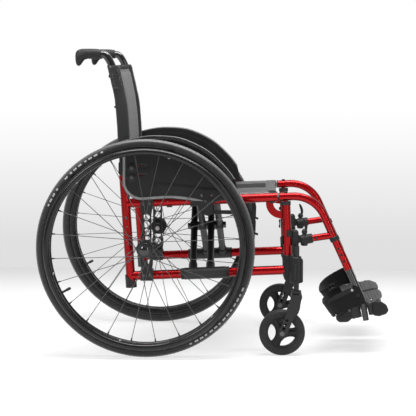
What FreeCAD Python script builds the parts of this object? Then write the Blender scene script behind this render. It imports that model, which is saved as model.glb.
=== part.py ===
import FreeCAD, Part
import os, math

# Manual wheelchair with a folding cross-brace frame, self-propelling rear wheels and
# swing-away leg supports.  Millimetres, +X forward, +Y to the rider's left, +Z up.
# It is built with X = 0 at the rear axle and moved on export, so that the origin lies on
# the floor below the centre of the footprint.  Sided parts are built on the right (-Y)
# and mirrored to the left.

Vector = FreeCAD.Vector
os.makedirs("parts", exist_ok=True)

# ---- driving dimensions ----------------------------------------------------------
AXLE_TO_ORIGIN = 182.85     # rear axle lies this far behind the origin
FIT = 0.05                  # radial clearance of a running fit
TIGHT_FIT = 0.02            # radial clearance of a clamped or pressed fit

FRAME_Y = -210.0            # plane of the right side frame
PITCH = math.radians(2.5)   # the side frame is pitched nose-up
TUBE_R, TUBE_WALL = 12.5, 2.0
TUBE_BORE = TUBE_R - TUBE_WALL
INSERT_R = TUBE_BORE - FIT  # plugs and canes that sit inside a frame tube
CLAMP_BORE = TUBE_R + TIGHT_FIT
LOWER_Z0, UPPER_Z0 = 213.5, 413.4        # heights of the two long tubes at X = 0
RAIL_Z0, RAIL_Y, RAIL_R = 415.0, -183.0, 11.0
REAR_UPRIGHT = (-56.0, 376.0, -0.0644)   # X, Z of a point and slope dX/dZ
FRONT_UPRIGHT = (378.3, 405.1, -0.0433)
SCREW_R = 3.0

WHEEL_R = 295.0             # 24 inch wheel on a 25-540 tyre
TYRE_R = 12.5               # half of the tyre section
WHEEL_Y = -280.0            # plane of the right rear wheel
RIM_IN, RIM_OUT = 254.0, 272.0
FLANGE_Y = (-266.5, -291.5)  # inner and outer spoke flange of the hub
HANDRIM_R, HANDRIM_T, HANDRIM_Y = 263.0, 8.5, -312.5
SPOKES = 24
PIN_R = 6.35                # half inch quick-release axle
BUTTON_STEM_R = 3.0

CASTER_R, CASTER_Y = 62.5, -238.0
CASTER_X, STEM_X = 369.0, 407.0
CASTER_RIM_R = 47.0
STEM_R = 6.0
CASTER_BOLT_R = 4.0


# ---- helpers -----------------------------------------------------------------------
def pitched(forward, y, up):
    """Point given along the pitched axes of the side frame."""
    return Vector(forward * math.cos(PITCH) - up * math.sin(PITCH), y,
                  forward * math.sin(PITCH) + up * math.cos(PITCH))


def rod(start, end, radius):
    start, end = Vector(*start), Vector(*end)
    return Part.makeCylinder(radius, (end - start).Length, start, end - start)


def pitched_rod(start, end, y, up, radius):
    return rod(pitched(start, y, up), pitched(end, y, up), radius)


def y_rod(x, z, y0, y1, radius):
    return Part.makeCylinder(radius, y1 - y0, Vector(x, y0, z), Vector(0, 1, 0))


def block(x0, x1, y0, y1, z0, z1):
    return Part.makeBox(x1 - x0, y1 - y0, z1 - z0, Vector(x0, y0, z0))


def fuse(first, *others):
    return first.fuse(list(others)).removeSplitter()


def cut(body, *tools):
    return body.cut(list(tools)).removeSplitter()


def mirror(shape):
    return shape.mirror(Vector(0, 0, 0), Vector(0, 1, 0))


def rounded_wire(points, radii, place):
    """Closed wire through 2D points with rounded corners; place maps 2D to 3D.

    radii is one radius for all corners or a list of one per point.
    """
    count = len(points)
    if not isinstance(radii, list):
        radii = [radii] * count
    flat = [Vector(point[0], point[1], 0) for point in points]
    bends = []
    for i in range(count):
        corner = flat[i]
        back = flat[i - 1] - corner
        ahead = flat[(i + 1) % count] - corner
        half = back.getAngle(ahead) / 2
        if radii[i] <= 0 or abs(half - math.pi / 2) < 0.02:
            bends.append((corner, None, corner))
            continue
        # the arc may use up just under half of either neighbouring side
        setback = min(radii[i] / math.tan(half), 0.48 * back.Length, 0.48 * ahead.Length)
        radius = setback * math.tan(half)
        back.normalize()
        ahead.normalize()
        inward = (back + ahead).normalize()
        bends.append((corner + back * setback,
                      corner + inward * (radius / math.sin(half) - radius),
                      corner + ahead * setback))
    edges = []
    for i, (start, middle, end) in enumerate(bends):
        end_3d = place(end.x, end.y)
        if middle is not None:
            edges.append(Part.Arc(place(start.x, start.y), place(middle.x, middle.y),
                                  end_3d).toShape())
        following = bends[(i + 1) % count][0]
        if (following - end).Length > 1e-6:
            edges.append(Part.makeLine(end_3d, place(following.x, following.y)))
    return Part.Wire(edges)


def side_plate(points, y0, y1, radii=0):
    """(x, z) profile with rounded corners, extruded from y0 to y1."""
    wire = rounded_wire(points, radii, lambda x, z: Vector(x, y0, z))
    return Part.Face(wire).extrude(Vector(0, y1 - y0, 0))


def pipe(edges, radius, start, tangent):
    circle = Part.Wire(Part.makeCircle(radius, start, tangent))
    return Part.Wire(edges).makePipeShell([circle], True, False)


def spline_edge(points):
    curve = Part.BSplineCurve()
    curve.interpolate(points)
    return curve.toShape()


# ---- axes and tube runs of the side frame -----------------------------------------------
FORWARD = Vector(math.cos(PITCH), 0, math.sin(PITCH))
# the same heights measured along the pitched up axis
LOWER_UP, UPPER_UP, RAIL_UP = [z * math.cos(PITCH) for z in (LOWER_Z0, UPPER_Z0, RAIL_Z0)]


def upright_point(upright, z):
    x0, z0, slope = upright
    return Vector(x0 + (z - z0) * slope, FRAME_Y, z)


def upright_rod(upright, z0, z1, radius):
    return rod(upright_point(upright, z0), upright_point(upright, z1), radius)


def long_tube_point(height, x):
    return Vector(x, FRAME_Y, height + math.tan(PITCH) * x)


REAR_RUN = (upright_point(REAR_UPRIGHT, 190), upright_point(REAR_UPRIGHT, 488))
FRONT_RUN = (upright_point(FRONT_UPRIGHT, 204), upright_point(FRONT_UPRIGHT, 408))
LOWER_RUN = (long_tube_point(LOWER_Z0, -45.5), long_tube_point(LOWER_Z0, 385.8))
UPPER_RUN = (long_tube_point(UPPER_Z0, -58.3), long_tube_point(UPPER_Z0, 354.5))


def corner_gusset():
    """Quarter ring in the upper front corner, with a tab into each tube."""
    x, z = 366.0, 413.0
    outer, inner, tab = 42, 22, 10
    y0, y1 = FRAME_Y - 3, FRAME_Y + 3
    ring = y_rod(x, z, y0, y1, outer).cut(y_rod(x, z, y0, y1, inner))
    ring = ring.common(block(x - 60, x, y0 - 1, y1 + 1, z - 60, z))
    return ring.fuse([block(x - outer, x - inner, y0, y1, z, z + tab),
                      block(x, x + tab, y0, y1, z - outer, z - inner)])


def side_frame():
    """Welded frame of two uprights and two long tubes, hollow throughout."""
    runs = (REAR_RUN, FRONT_RUN, LOWER_RUN, UPPER_RUN)
    frame = fuse(*[rod(start, end, TUBE_R) for start, end in runs], corner_gusset())
    bores = []
    for start, end in (REAR_RUN, FRONT_RUN):
        over = (end - start) * 0.1
        bores.append(rod(start - over, end + over, TUBE_BORE))
    bores += [rod(*LOWER_RUN, TUBE_BORE), rod(*UPPER_RUN, TUBE_BORE)]
    frame = cut(frame, *bores)
    # clear the front end of the upper tube
    start, end = UPPER_RUN
    span = end - start
    return cut(frame, rod(end - span * 0.3, end + span * 0.1, TUBE_BORE))


# ---- back cane: one tube from inside the upright to the push handle -----------------------
HANDLE_Y = -196
HANDLE = (Vector(-122.0, HANDLE_Y, 815.0), Vector(-181.0, HANDLE_Y, 815.0))
CANE_START = upright_point(REAR_UPRIGHT, 300)
CANE_EXIT = upright_point(REAR_UPRIGHT, 492)
CANE_TANGENT = (CANE_EXIT - CANE_START).normalize()
CANE_CURVE = [CANE_EXIT, Vector(-64.8, -210.0, 530), Vector(-65.2, -208.5, 590),
              Vector(-71.3, -203.0, 673), Vector(-79.6, -199.5, 722),
              Vector(-93.6, -197.0, 782), Vector(-104.0, -196.2, 803.0), HANDLE[0]]


def cane_curve():
    curve = Part.BSplineCurve()
    curve.interpolate(Points=CANE_CURVE, InitialTangent=CANE_TANGENT * 38,
                      FinalTangent=Vector(-34, 0, 0))
    return curve.toShape()


def back_cane():
    route = [Part.makeLine(CANE_START, CANE_EXIT), cane_curve(), Part.makeLine(*HANDLE)]
    return pipe(route, INSERT_R, CANE_START, CANE_TANGENT)


def cane_room():
    """Clearance around the curved part of the cane, cut from what surrounds it."""
    start = upright_point(REAR_UPRIGHT, 440)
    route = [Part.makeLine(start, CANE_EXIT), cane_curve()]
    return pipe(route, INSERT_R + 0.06, start, CANE_TANGENT)


def push_grip():
    half_width = 13.5
    grip = side_plate(
        [(-124.5, 828), (-150, 830.5), (-178, 829.5), (-192, 822), (-193.5, 806), (-190.5, 787),
         (-184, 783.6), (-177, 788), (-170, 800), (-158, 803), (-140, 801.5), (-124.5, 803.5)],
        HANDLE_Y - half_width, HANDLE_Y + half_width, [3, 6, 8, 8, 6, 5, 5, 5, 12, 8, 5, 3])
    handle_room = rod(HANDLE[0] + Vector(5, 0, 0), HANDLE[1], INSERT_R + FIT)
    # the two side outlines take the largest fillet that leaves one valid solid
    for radius in (5.0, 4.0, 2.5, 1.5):
        try:
            soft = grip.makeFillet(radius, [edge for edge in grip.Edges
                                            if abs(edge.tangentAt(edge.FirstParameter).y) < 0.01])
        except Exception:
            # the kernel refuses a radius that is too large for the outline
            continue
        if soft.isValid() and len(soft.Solids) == 1 and cut(soft, handle_room).isValid():
            grip = soft
            break
    return cut(grip, handle_room)


# ---- plastic plugs, seat saddles, collars and the guard clamp ------------------------------
HANGER_PIN_R = 6.0          # pivot pin of the hanger, in the bore of the front cap


def rear_tube_plug():
    """Foot of the rear upright, notched around the lower tube."""
    plug = upright_rod(REAR_UPRIGHT, 180, 226, 15.2)
    plug = cut(plug, upright_rod(REAR_UPRIGHT, 189.9, 260, CLAMP_BORE),
               rod(*LOWER_RUN, CLAMP_BORE),
               side_plate([(-75, 224), (-14, 184), (0, 250), (-75, 250)],
                          FRAME_Y - 20, FRAME_Y + 20))
    plug = fuse(plug, upright_rod(REAR_UPRIGHT, 182, 199, INSERT_R))
    # socket for a tip lever: plain bore from below
    return cut(plug, upright_rod(REAR_UPRIGHT, 178, 210, 8.0))


def upper_tube_plug():
    end = UPPER_RUN[1]
    return fuse(rod(end, end + FORWARD * 1.0, 12.3),
                rod(end - FORWARD * 12, end + FORWARD * 0.2, INSERT_R))


def front_tube_cap():
    cap = upright_rod(FRONT_UPRIGHT, 408.2, 417.6, 13.6)
    cap = fuse(cap, upright_rod(FRONT_UPRIGHT, 362, 410, INSERT_R))
    return cut(cap, upright_rod(FRONT_UPRIGHT, 350, 425, HANGER_PIN_R + FIT))


def guard_clamp():
    """Clamp behind the side guard, around the top of the rear upright and the cane."""
    clamp = side_plate([(-76, 489), (-76, 526), (-52, 526), (-28, 518),
                        (-28, 476), (-50, 476), (-50, 489)],
                       -223.8, -198.0, [6, 6, 8, 8, 8, 2, 2])
    clamp = cut(clamp, block(-80, -52, -240, -190, 470, 488.6),
                block(-53, -20, -222.0, -190, 470, 530))
    return cut(clamp, cane_room())


def seat_saddle(start):
    """Saddle from the upper tube to the seat rail, its rear face at start."""
    width = 14
    # distance off the centre plane, pitched height
    section = [(169.0, RAIL_UP + 1.0), (169.0, RAIL_UP - 9.0), (177, RAIL_UP - 16.0),
               (207, UPPER_UP - 16.2), (217, UPPER_UP - 15.0), (217, UPPER_UP - 9.5),
               (205, UPPER_UP - 4), (197.6, RAIL_UP + 3.0), (195.4, RAIL_UP + 3.0),
               (190, RAIL_UP - 6), (172.0, RAIL_UP + 1.0)]
    wire = rounded_wire(section, [1.2, 6, 7, 10, 3, 2, 0, 0.6, 0.6, 0, 1.2],
                        lambda out, up: pitched(start, -out, up))
    body = Part.Face(wire).extrude(FORWARD * width)
    end = start + width
    return cut(body, pitched_rod(start - 5, end + 5, FRAME_Y, UPPER_UP, TUBE_R + FIT),
               pitched_rod(start - 5, end + 5, RAIL_Y, RAIL_UP, RAIL_R + 1.6))


def lower_tube_collar(start, end):
    return cut(pitched_rod(start, end, FRAME_Y, LOWER_UP, 15.4),
               pitched_rod(start - 5, end + 5, FRAME_Y, LOWER_UP, CLAMP_BORE))


def plastic_fittings():
    return [rear_tube_plug(), upper_tube_plug(), front_tube_cap(), guard_clamp(),
            seat_saddle(352), seat_saddle(72),
            lower_tube_collar(226.2, 234.0), lower_tube_collar(102.8, 110.8)]


# ---- side guard with its mudguard flange -----------------------------------------------
GUARD_SCREW_X, GUARD_SCREW_Z = -40, (509, 483)
# (x, z) from rear to front along the curved top: upper and lower face of the flange
GUARD_TOP = [(-60, 583), (-20, 592.5), (16, 597), (60, 596), (97, 590),
             (140, 572.5), (177, 549.5), (217, 511), (240, 481)]
FLANGE_UNDER = [(-60, 580), (-20, 589.5), (16, 594), (60, 593), (96, 587.2),
                (138.5, 570), (175, 547.2), (214.8, 509.2), (237.4, 479.4)]
# (x, z) from the front end of the top, back along the bottom
GUARD_BOTTOM = [(256, 444), (250, 430), (200, 424.6), (158, 424.6), (118, 426.5),
                (50, 431), (-6, 426), (-34, 427), (-60, 452)]


def side_guard():
    def at_y(points, y):
        return [Vector(x, y, z) for x, z in points]

    panel_y, panel_thickness = -227.5, 3.5
    flange_y, flange_width = -263.5, 38
    rest = at_y([GUARD_TOP[-1]] + GUARD_BOTTOM + [GUARD_TOP[0]], panel_y)
    outline = [spline_edge(at_y(GUARD_TOP, panel_y))]
    outline += [Part.makeLine(start, end) for start, end in zip(rest, rest[1:])]
    panel = Part.Face(Part.Wire(outline)).extrude(Vector(0, panel_thickness, 0))

    top, under = at_y(GUARD_TOP, flange_y), at_y(FLANGE_UNDER, flange_y)
    strip = Part.Face(Part.Wire([spline_edge(top), Part.makeLine(top[-1], under[-1]),
                                 spline_edge(under), Part.makeLine(under[0], top[0])]))
    guard = fuse(panel, strip.extrude(Vector(0, flange_width, 0)))
    holes = [y_rod(GUARD_SCREW_X, z, -230, -220, SCREW_R + FIT) for z in GUARD_SCREW_Z]
    slots = [side_plate([(-22, z + 3), (2, z + 3), (2, z + 7.5), (-22, z + 7.5)], -230, -220, 2)
             for z in GUARD_SCREW_Z]
    return cut(guard, *holes, *slots)


# ---- axle plate, quick-release axle and its button ------------------------------------------
AXLE_PLATE_SCREWS = [(x, z) for z in (UPPER_Z0 - 2, LOWER_Z0 + 2) for x in (-8.5, 8.5)]


def axle_rod(y0, y1, radius):
    return y_rod(0, WHEEL_R, y0, y1, radius)


def axle_plate():
    """Plate clamped to both long tubes, with the axle receiver."""
    outer_y, inner_y = -229.2, -223.0
    plate = side_plate(
        [(-17, 423), (-17, 398), (-14, 380), (-14.5, 270),
         (-17, 262), (-17, 247), (-13, 235), (-14, 200.5),
         (17, 200.5), (15, 235), (17, 247), (17, 262),
         (13.5, 270), (13, 380), (16, 398), (16, 423)],
        outer_y, inner_y, [5, 3, 3, 3, 4, 4, 4, 3, 3, 4, 4, 4, 3, 3, 3, 5])
    for z in (255, 275, 315, 335, 355, 375):
        plate = plate.cut(y_rod(0, z, -235, -215, 9.0))
    for z0, z1 in ((200.5, 231), (397.5, 423)):
        plate = plate.fuse(block(-17, 17, outer_y, -195.5, z0, z1))
    plate = plate.fuse([axle_rod(-262.0, -214, 8.9), axle_rod(-234.0, -229, 13.5),
                        axle_rod(-223.5, -217.5, 13.5)])
    return cut(plate, pitched_rod(-60, 60, FRAME_Y, LOWER_UP, CLAMP_BORE),
               pitched_rod(-60, 60, FRAME_Y, UPPER_UP, CLAMP_BORE),
               axle_rod(-270, -205, PIN_R + FIT),
               *[y_rod(x, z, -235, -215, SCREW_R + FIT) for x, z in AXLE_PLATE_SCREWS])


def axle_pin():
    pin = fuse(axle_rod(-301.5, -209, PIN_R), axle_rod(-305.0, -301.0, 9.0))
    return cut(pin, axle_rod(-310, -262, BUTTON_STEM_R + FIT))


def release_button():
    button_r, dome_r, dome_y = 13.6, 22.0, -317.2
    button = fuse(axle_rod(-313.0, -309.0, button_r), axle_rod(-309.5, -268, BUTTON_STEM_R))
    dome = Part.makeSphere(dome_r, Vector(0, dome_y + dome_r, WHEEL_R))
    return fuse(button, dome.common(axle_rod(-318, -313, button_r)))


# ---- rear wheel ------------------------------------------------------------------------
def wheel_point(radius, angle, y):
    return Vector(radius * math.cos(angle), y, WHEEL_R + radius * math.sin(angle))


def wheel_torus(major, minor, y):
    return Part.makeTorus(major, minor, Vector(0, y, WHEEL_R), Vector(0, 1, 0))


def wheel_tyre():
    return cut(wheel_torus(WHEEL_R - TYRE_R, TYRE_R, WHEEL_Y),
               axle_rod(WHEEL_Y - 20, WHEEL_Y + 20, RIM_OUT + TIGHT_FIT))


def wheel_rim():
    # radius, distance from the wheel plane
    section = [(RIM_IN, -2.5), (RIM_IN, 2.5), (RIM_IN + 8, 10),
               (RIM_OUT, 10), (RIM_OUT, -10), (RIM_IN + 8, -10)]
    wire = rounded_wire(section, [1.5, 1.5, 3, 1, 1, 3],
                        lambda radius, y: Vector(radius, WHEEL_Y + y, WHEEL_R))
    return Part.Face(wire).revolve(Vector(0, 0, WHEEL_R), Vector(0, 1, 0), 360)


def wheel_hub():
    flanges = [axle_rod(y - 2, y + 2, 25.0) for y in FLANGE_Y]
    hub = fuse(axle_rod(-299.6, -263.0, 14.0), *flanges, axle_rod(-299.6, -293, 18.0))
    return cut(hub, axle_rod(-310, -250, PIN_R + FIT))


def wheel_spokes():
    """Crossed spokes: alternate flanges, and every two spokes the lean reverses."""
    spokes = []
    for k in range(SPOKES):
        rim_angle = math.radians(6.2 + 360 / SPOKES * k)
        outer = k % 2 == 0
        lean = 1 if (k // 2) % 2 == 0 else -1
        hub_angle = rim_angle + lean * math.radians(58)
        hub_y = FLANGE_Y[1] if outer else FLANGE_Y[0]
        rim_y = WHEEL_Y - (1.2 if outer else -1.2)
        # the sideways offsets let spokes of opposite lean pass each other
        spokes.append(rod(wheel_point(21.5, hub_angle, hub_y - lean * 1.7),
                          wheel_point(RIM_IN + 1.2, rim_angle, rim_y - lean * 1.05), 0.95))
    return spokes


def handrim():
    tabs = []
    for i in range(6):
        centre = wheel_point(HANDRIM_R, math.radians(15 + 60 * i), 0)
        tabs.append(y_rod(centre.x, centre.z, -309, -290.0, 4.0))
    return fuse(wheel_torus(HANDRIM_R, HANDRIM_T, HANDRIM_Y), *tabs)


# ---- screws on the side frame, one group --------------------------------------------------
def screw(x, z, head, shank):
    """head and shank are each (y0, y1, radius)."""
    return fuse(y_rod(x, z, *head), y_rod(x, z, *shank))


def frame_screws():
    screws = [screw(x, z, (-231.6, -229.2, 4.6), (-230, -220.5, SCREW_R))
              for x, z in AXLE_PLATE_SCREWS]
    screws += [screw(GUARD_SCREW_X, z, (-230.0, -227.5, 5.2), (-228.5, -223.9, SCREW_R))
               for z in GUARD_SCREW_Z]
    small_shank = (-223, -220.9, 1.8)
    for z, head_r in ((372, 4.4), (347, 2.9), (325, 2.9), (300, 2.9), (276, 2.9), (252, 2.9)):
        x = upright_point(REAR_UPRIGHT, z).x
        screws.append(screw(x, z, (-224.2, -222.3, head_r), small_shank))
    for x in (28.0, 42.0, 89.0):
        z = long_tube_point(LOWER_Z0, x).z
        screws.append(screw(x, z, (-224.0, -222.3, 2.9), small_shank))
    return screws


# ---- wheel lock --------------------------------------------------------------------------
BRAKE_X, BRAKE_Y, BRAKE_PIN_R = 168, -203, 4.0   # upright pivot pin of the lever


def brake_rod(z0, z1, radius):
    return rod((BRAKE_X, BRAKE_Y, z0), (BRAKE_X, BRAKE_Y, z1), radius)


def brake_base():
    """Split sleeve on the upper tube with an arm that carries the pivot pin."""
    base = cut(pitched_rod(136, 196, FRAME_Y, UPPER_UP, 15.6),
               pitched_rod(130, 200, FRAME_Y, UPPER_UP, CLAMP_BORE))
    cheek = side_plate([(138, 416), (180, 418), (180, 382), (164, 378), (144, 388)],
                       -221.0, -213.0, [2, 2, 6, 8, 8])
    base = fuse(base, cheek, block(158, 178, -221.0, -193.0, 396.6, 403.5))
    base = cut(base, pitched_rod(110, 200, FRAME_Y, UPPER_UP, CLAMP_BORE))
    base = cut(base, block(100, 230, -240, -223.6, 380, 450),
               block(100, 230, -196.0, -180, 405, 450))
    return fuse(base, brake_rod(398, 379, BRAKE_PIN_R))


def brake_lever():
    lever = side_plate([(159, 392), (159, 383), (283, 380), (283, 334),
                        (289, 326), (296, 330), (297, 360), (292, 392)],
                       BRAKE_Y - 3.5, BRAKE_Y + 3.5, [4, 4, 6, 4, 3, 3, 8, 6])
    lever = fuse(lever, brake_rod(383, 392.4, 8.5),
                 rod((290, BRAKE_Y, 330), (303, BRAKE_Y, 326), 3.2),
                 rod((290, BRAKE_Y, 334), (290, -236, 334), 5.0))
    return cut(lever, brake_rod(370, 400, BRAKE_PIN_R + FIT))


# ---- caster housing, fork and wheel ---------------------------------------------------------
FORK_IN, FORK_OUT = 16.0, 21.5   # faces of the fork legs from the caster plane


def stem_rod(z0, z1, radius):
    return rod((STEM_X, CASTER_Y, z0), (STEM_X, CASTER_Y, z1), radius)


def caster_rod(near, far, radius, x=CASTER_X, z=CASTER_R):
    """Cross rod between two distances from the caster plane, by default on its axle."""
    return y_rod(x, z, CASTER_Y + near, CASTER_Y + far, radius)


def caster_housing():
    """Clamp on the front upright joined to the barrel of the caster stem."""
    clamp = side_plate([(368.5, 270.5), (370.5, 214), (381, 198.5), (404, 198.5), (404, 270.5)],
                       -226, -196, [3, 3, 9, 2, 2])
    housing = fuse(clamp, stem_rod(201.0, 270.0, 18.5), block(392, 420, -232, -208, 201.0, 268))
    return cut(housing, upright_rod(FRONT_UPRIGHT, 203.9, 300, CLAMP_BORE),
               rod(*LOWER_RUN, CLAMP_BORE), stem_rod(190, 280, STEM_R + FIT))


def caster_fork():
    stem = fuse(stem_rod(155, 276, STEM_R), stem_rod(271.0, 298.0, 8.0),
                stem_rod(161.0, 199.0, 7.2), stem_rod(170.0, 177.5, 13.5))
    leg = [(394, 166), (394, 158), (385, 129), (375.5, 105), (359.5, 66), (360, 53), (369, 48),
           (379, 52), (383.5, 62), (399.5, 104), (415.5, 129), (421.5, 158), (421.5, 166)]
    leg_radii = [3, 4, 30, 30, 6, 5, 6, 5, 8, 30, 20, 4, 3]
    legs = [side_plate(leg, CASTER_Y + near, CASTER_Y + far, leg_radii)
            for near, far in ((-FORK_OUT, -FORK_IN), (FORK_IN, FORK_OUT))]
    crown = side_plate([(392.5, 168), (392.5, 157), (398, 151),
                        (416, 151), (422.5, 157), (422.5, 168)],
                       CASTER_Y - FORK_OUT, CASTER_Y + FORK_OUT, 3)
    holes = [caster_rod(-30, 30, 4.4, x, z)
             for x, z in ((373.4, 75.6), (377.6, 87.0), (381.6, 98.4))]
    return cut(fuse(stem, crown, *legs), caster_rod(-30, 30, CASTER_BOLT_R + FIT), *holes)


def caster_bolt():
    return fuse(caster_rod(-25.5, -FORK_OUT, 6.5), caster_rod(-22, 22, CASTER_BOLT_R),
                caster_rod(FORK_OUT, 26.0, 6.5))


def caster_tyre():
    tyre = cut(caster_rod(-14, 14, CASTER_R), caster_rod(-15, 15, CASTER_RIM_R + TIGHT_FIT))
    return tyre.makeFillet(7.0, [edge for edge in tyre.Edges
                                 if abs(getattr(edge.Curve, "Radius", 0) - CASTER_R) < 0.1])


def caster_hub():
    """Rim, thin web with three windows, hub barrel and three arms."""
    web = caster_rod(-7, 7, 46.0)
    for k in range(3):
        # lens-shaped window: a circle on the axle crossed with one nearer the rim
        angle = math.radians(60 + 120 * k)
        window = caster_rod(-20, 20, 38.2).common(
            caster_rod(-20, 20, 29.6, CASTER_X + 47.0 * math.cos(angle),
                       CASTER_R + 47.0 * math.sin(angle)))
        web = web.cut(window)
    rim = cut(caster_rod(-12, 12, CASTER_RIM_R), caster_rod(-15, 15, 41.5))
    barrel = caster_rod(-15.0, 15.0, 11.0)
    arms = []
    wheel_frame = FreeCAD.Placement(Vector(CASTER_X, CASTER_Y, CASTER_R),
                                    FreeCAD.Rotation(Vector(1, 0, 0), 90))
    for k in range(3):
        arm = Part.makeBox(34, 8, 19, Vector(9, -4, -9.5))
        spin = FreeCAD.Placement(Vector(0, 0, 0), FreeCAD.Rotation(Vector(0, 0, 1), 120 * k))
        arm.Placement = wheel_frame.multiply(spin).multiply(arm.Placement)
        arms.append(arm)
    return cut(fuse(rim, web, barrel, *arms), caster_rod(-20, 20, CASTER_BOLT_R + FIT))


# ---- swing-away hanger, latch and lever --------------------------------------------------------
HANGER_R, HANGER_IN = 11.0, 9.5
HANGER_BEND_R = 90.0
HANGER_START = Vector(360, FRAME_Y, 429.6)
HANGER_END = Vector(549.3, FRAME_Y, 232.2)
HANGER_DOWN = Vector(0.4163, 0, -0.9092).normalize()   # direction of the lower run
BAR_R = 9.5                                            # bar between latch and hanger
BAR_START, BAR_END = Vector(438.5, FRAME_Y, 315.2), Vector(506, FRAME_Y, 325.7)
BAR_DIR = (BAR_END - BAR_START).normalize()
LATCH_X, LATCH_Z, LATCH_PIN_R = 429, 329.5, 1.4


def hanger():
    """Bent tube with a bar towards the latch and a pivot pin in the front upright."""
    # the straight runs meet at the corner, which the bend replaces
    gap = HANGER_END - HANGER_START
    reach = ((gap.x * HANGER_DOWN.z - gap.z * HANGER_DOWN.x)
             / (FORWARD.x * HANGER_DOWN.z - FORWARD.z * HANGER_DOWN.x))
    corner = HANGER_START + FORWARD * reach
    turn = FORWARD.getAngle(HANGER_DOWN)
    setback = HANGER_BEND_R * math.tan(turn / 2)
    bend_start, bend_end = corner - FORWARD * setback, corner + HANGER_DOWN * setback
    inward = (HANGER_DOWN - FORWARD).normalize()
    middle = corner + inward * (HANGER_BEND_R / math.cos(turn / 2) - HANGER_BEND_R)
    route = [Part.makeLine(HANGER_START, bend_start),
             Part.Arc(bend_start, middle, bend_end).toShape(),
             Part.makeLine(bend_end, HANGER_END)]
    body = fuse(pipe(route, HANGER_R, HANGER_START, FORWARD), rod(BAR_START, BAR_END, BAR_R),
                upright_rod(FRONT_UPRIGHT, 368, 428, HANGER_PIN_R))
    return cut(body, rod(HANGER_END - HANGER_DOWN * 130, HANGER_END + HANGER_DOWN * 5, HANGER_IN))


def hanger_latch():
    """Hook around the front upright, block, neck and socket for the hanger bar."""
    upright_r = 13.1
    axis = (FRONT_RUN[1] - FRONT_RUN[0]).normalize()
    foot = upright_point(FRONT_UPRIGHT, 322)
    hook = Part.makeCylinder(18.0, 17, foot, axis).cut(
        Part.makeCylinder(upright_r, 20, foot - axis, axis))
    hook = hook.cut([block(340, foot.x - 2, FRAME_Y - 30, FRAME_Y + 30, 300, 360),
                     block(340, 420, FRAME_Y + 7, FRAME_Y + 40, 300, 360)])
    body = side_plate([(397.5, 339), (397.5, 300), (404, 295), (413, 300), (413, 334), (408, 340)],
                      FRAME_Y - 7.5, FRAME_Y + 7.5, [3, 5, 5, 4, 4, 4])
    body = body.cut(Part.makeCylinder(upright_r, 90, foot - axis * 40, axis))
    neck = side_plate([(411, 327), (411, 303), (418, 306), (424, 303), (424, 327), (418, 324)],
                      FRAME_Y - 6, FRAME_Y + 6, 2)
    socket = rod(BAR_START - BAR_DIR * 17.5, BAR_START + BAR_DIR * 10, 13.0)
    latch = fuse(hook, body, neck, socket)
    latch = cut(latch, rod(BAR_START - BAR_DIR * 0.05, BAR_START + BAR_DIR * 20,
                           BAR_R + TIGHT_FIT))
    # forked lug with the lever's pin
    latch = fuse(latch, block(424, 434, FRAME_Y - 5, FRAME_Y + 5, 322, 333))
    latch = cut(latch, block(420, 440, FRAME_Y - 2.2, FRAME_Y + 2.2, 325.0, 345))
    return fuse(latch, y_rod(LATCH_X, LATCH_Z, FRAME_Y - 3, FRAME_Y + 3, LATCH_PIN_R))


def latch_lever():
    blade = side_plate(
        [(426.5, 327.2), (431.5, 327.2), (435.5, 338), (435, 350), (432, 362), (427.5, 371),
         (424.5, 370), (428, 360), (429, 350), (424, 341), (423, 336)],
        FRAME_Y - 2.0, FRAME_Y + 2.0, [2, 2, 4, 6, 8, 1.5, 1.5, 8, 6, 4, 3])
    knob = Part.makeSphere(7.2, Vector(LATCH_X, FRAME_Y, 341)).cut(
        block(400, 460, FRAME_Y - 20, FRAME_Y + 20, 300, 334.2))
    return cut(fuse(blade, knob),
               y_rod(LATCH_X, LATCH_Z, FRAME_Y - 5, FRAME_Y + 5, LATCH_PIN_R + FIT))


# ---- footrest tube, footplate and heel loop ---------------------------------------------------
PLATE_PITCH = math.radians(13.0)
PLATE_X, PLATE_Z = 592.0, 128.9
PLATE_FORWARD = Vector(math.cos(PLATE_PITCH), 0, math.sin(PLATE_PITCH))
PLATE_UP = Vector(-math.sin(PLATE_PITCH), 0, math.cos(PLATE_PITCH))
HINGE_OUT = 186.0           # hinge of the footplate from the centre plane
HINGE_PIN_R = 4.0
PLATE_INNER = 16.0          # inner edge of the footplate from the centre plane


def plate_point(forward, out, up):
    """Footplate axes: forward along the plate, out from the centre plane, up off it."""
    return (Vector(PLATE_X, 0, PLATE_Z) + PLATE_FORWARD * forward + PLATE_UP * up
            + Vector(0, -out, 0))


def plate_box(forward0, forward1, out0, out1, up0, up1):
    corners = [(forward0, out0), (forward1, out0), (forward1, out1),
               (forward0, out1), (forward0, out0)]
    wire = Part.makePolygon([plate_point(forward, out, up0) for forward, out in corners])
    return Part.Face(wire).extrude(PLATE_UP * (up1 - up0))


def hinge_rod(half_length, radius):
    return rod(plate_point(-half_length, HINGE_OUT, 0), plate_point(half_length, HINGE_OUT, 0),
               radius)


def footrest_tube():
    """Tube that slides in the hanger, with the hinge barrel and pin of the footplate."""
    tube_r = HANGER_IN - FIT
    low_x = 588.0
    low = Vector(low_x, FRAME_Y, HANGER_END.z
                 + (low_x - HANGER_END.x) * HANGER_DOWN.z / HANGER_DOWN.x)
    return fuse(rod(HANGER_END - HANGER_DOWN * 72, low, tube_r),
                rod(low + Vector(0, 0, 3), Vector(598.5, FRAME_Y, 92.0), 8.2),
                Part.makeSphere(tube_r, low),
                hinge_rod(8.5, 9.0),
                plate_box(-8.5, 8.5, 186, 211, -9.0, 8.0),
                hinge_rod(36, HINGE_PIN_R))


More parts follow.
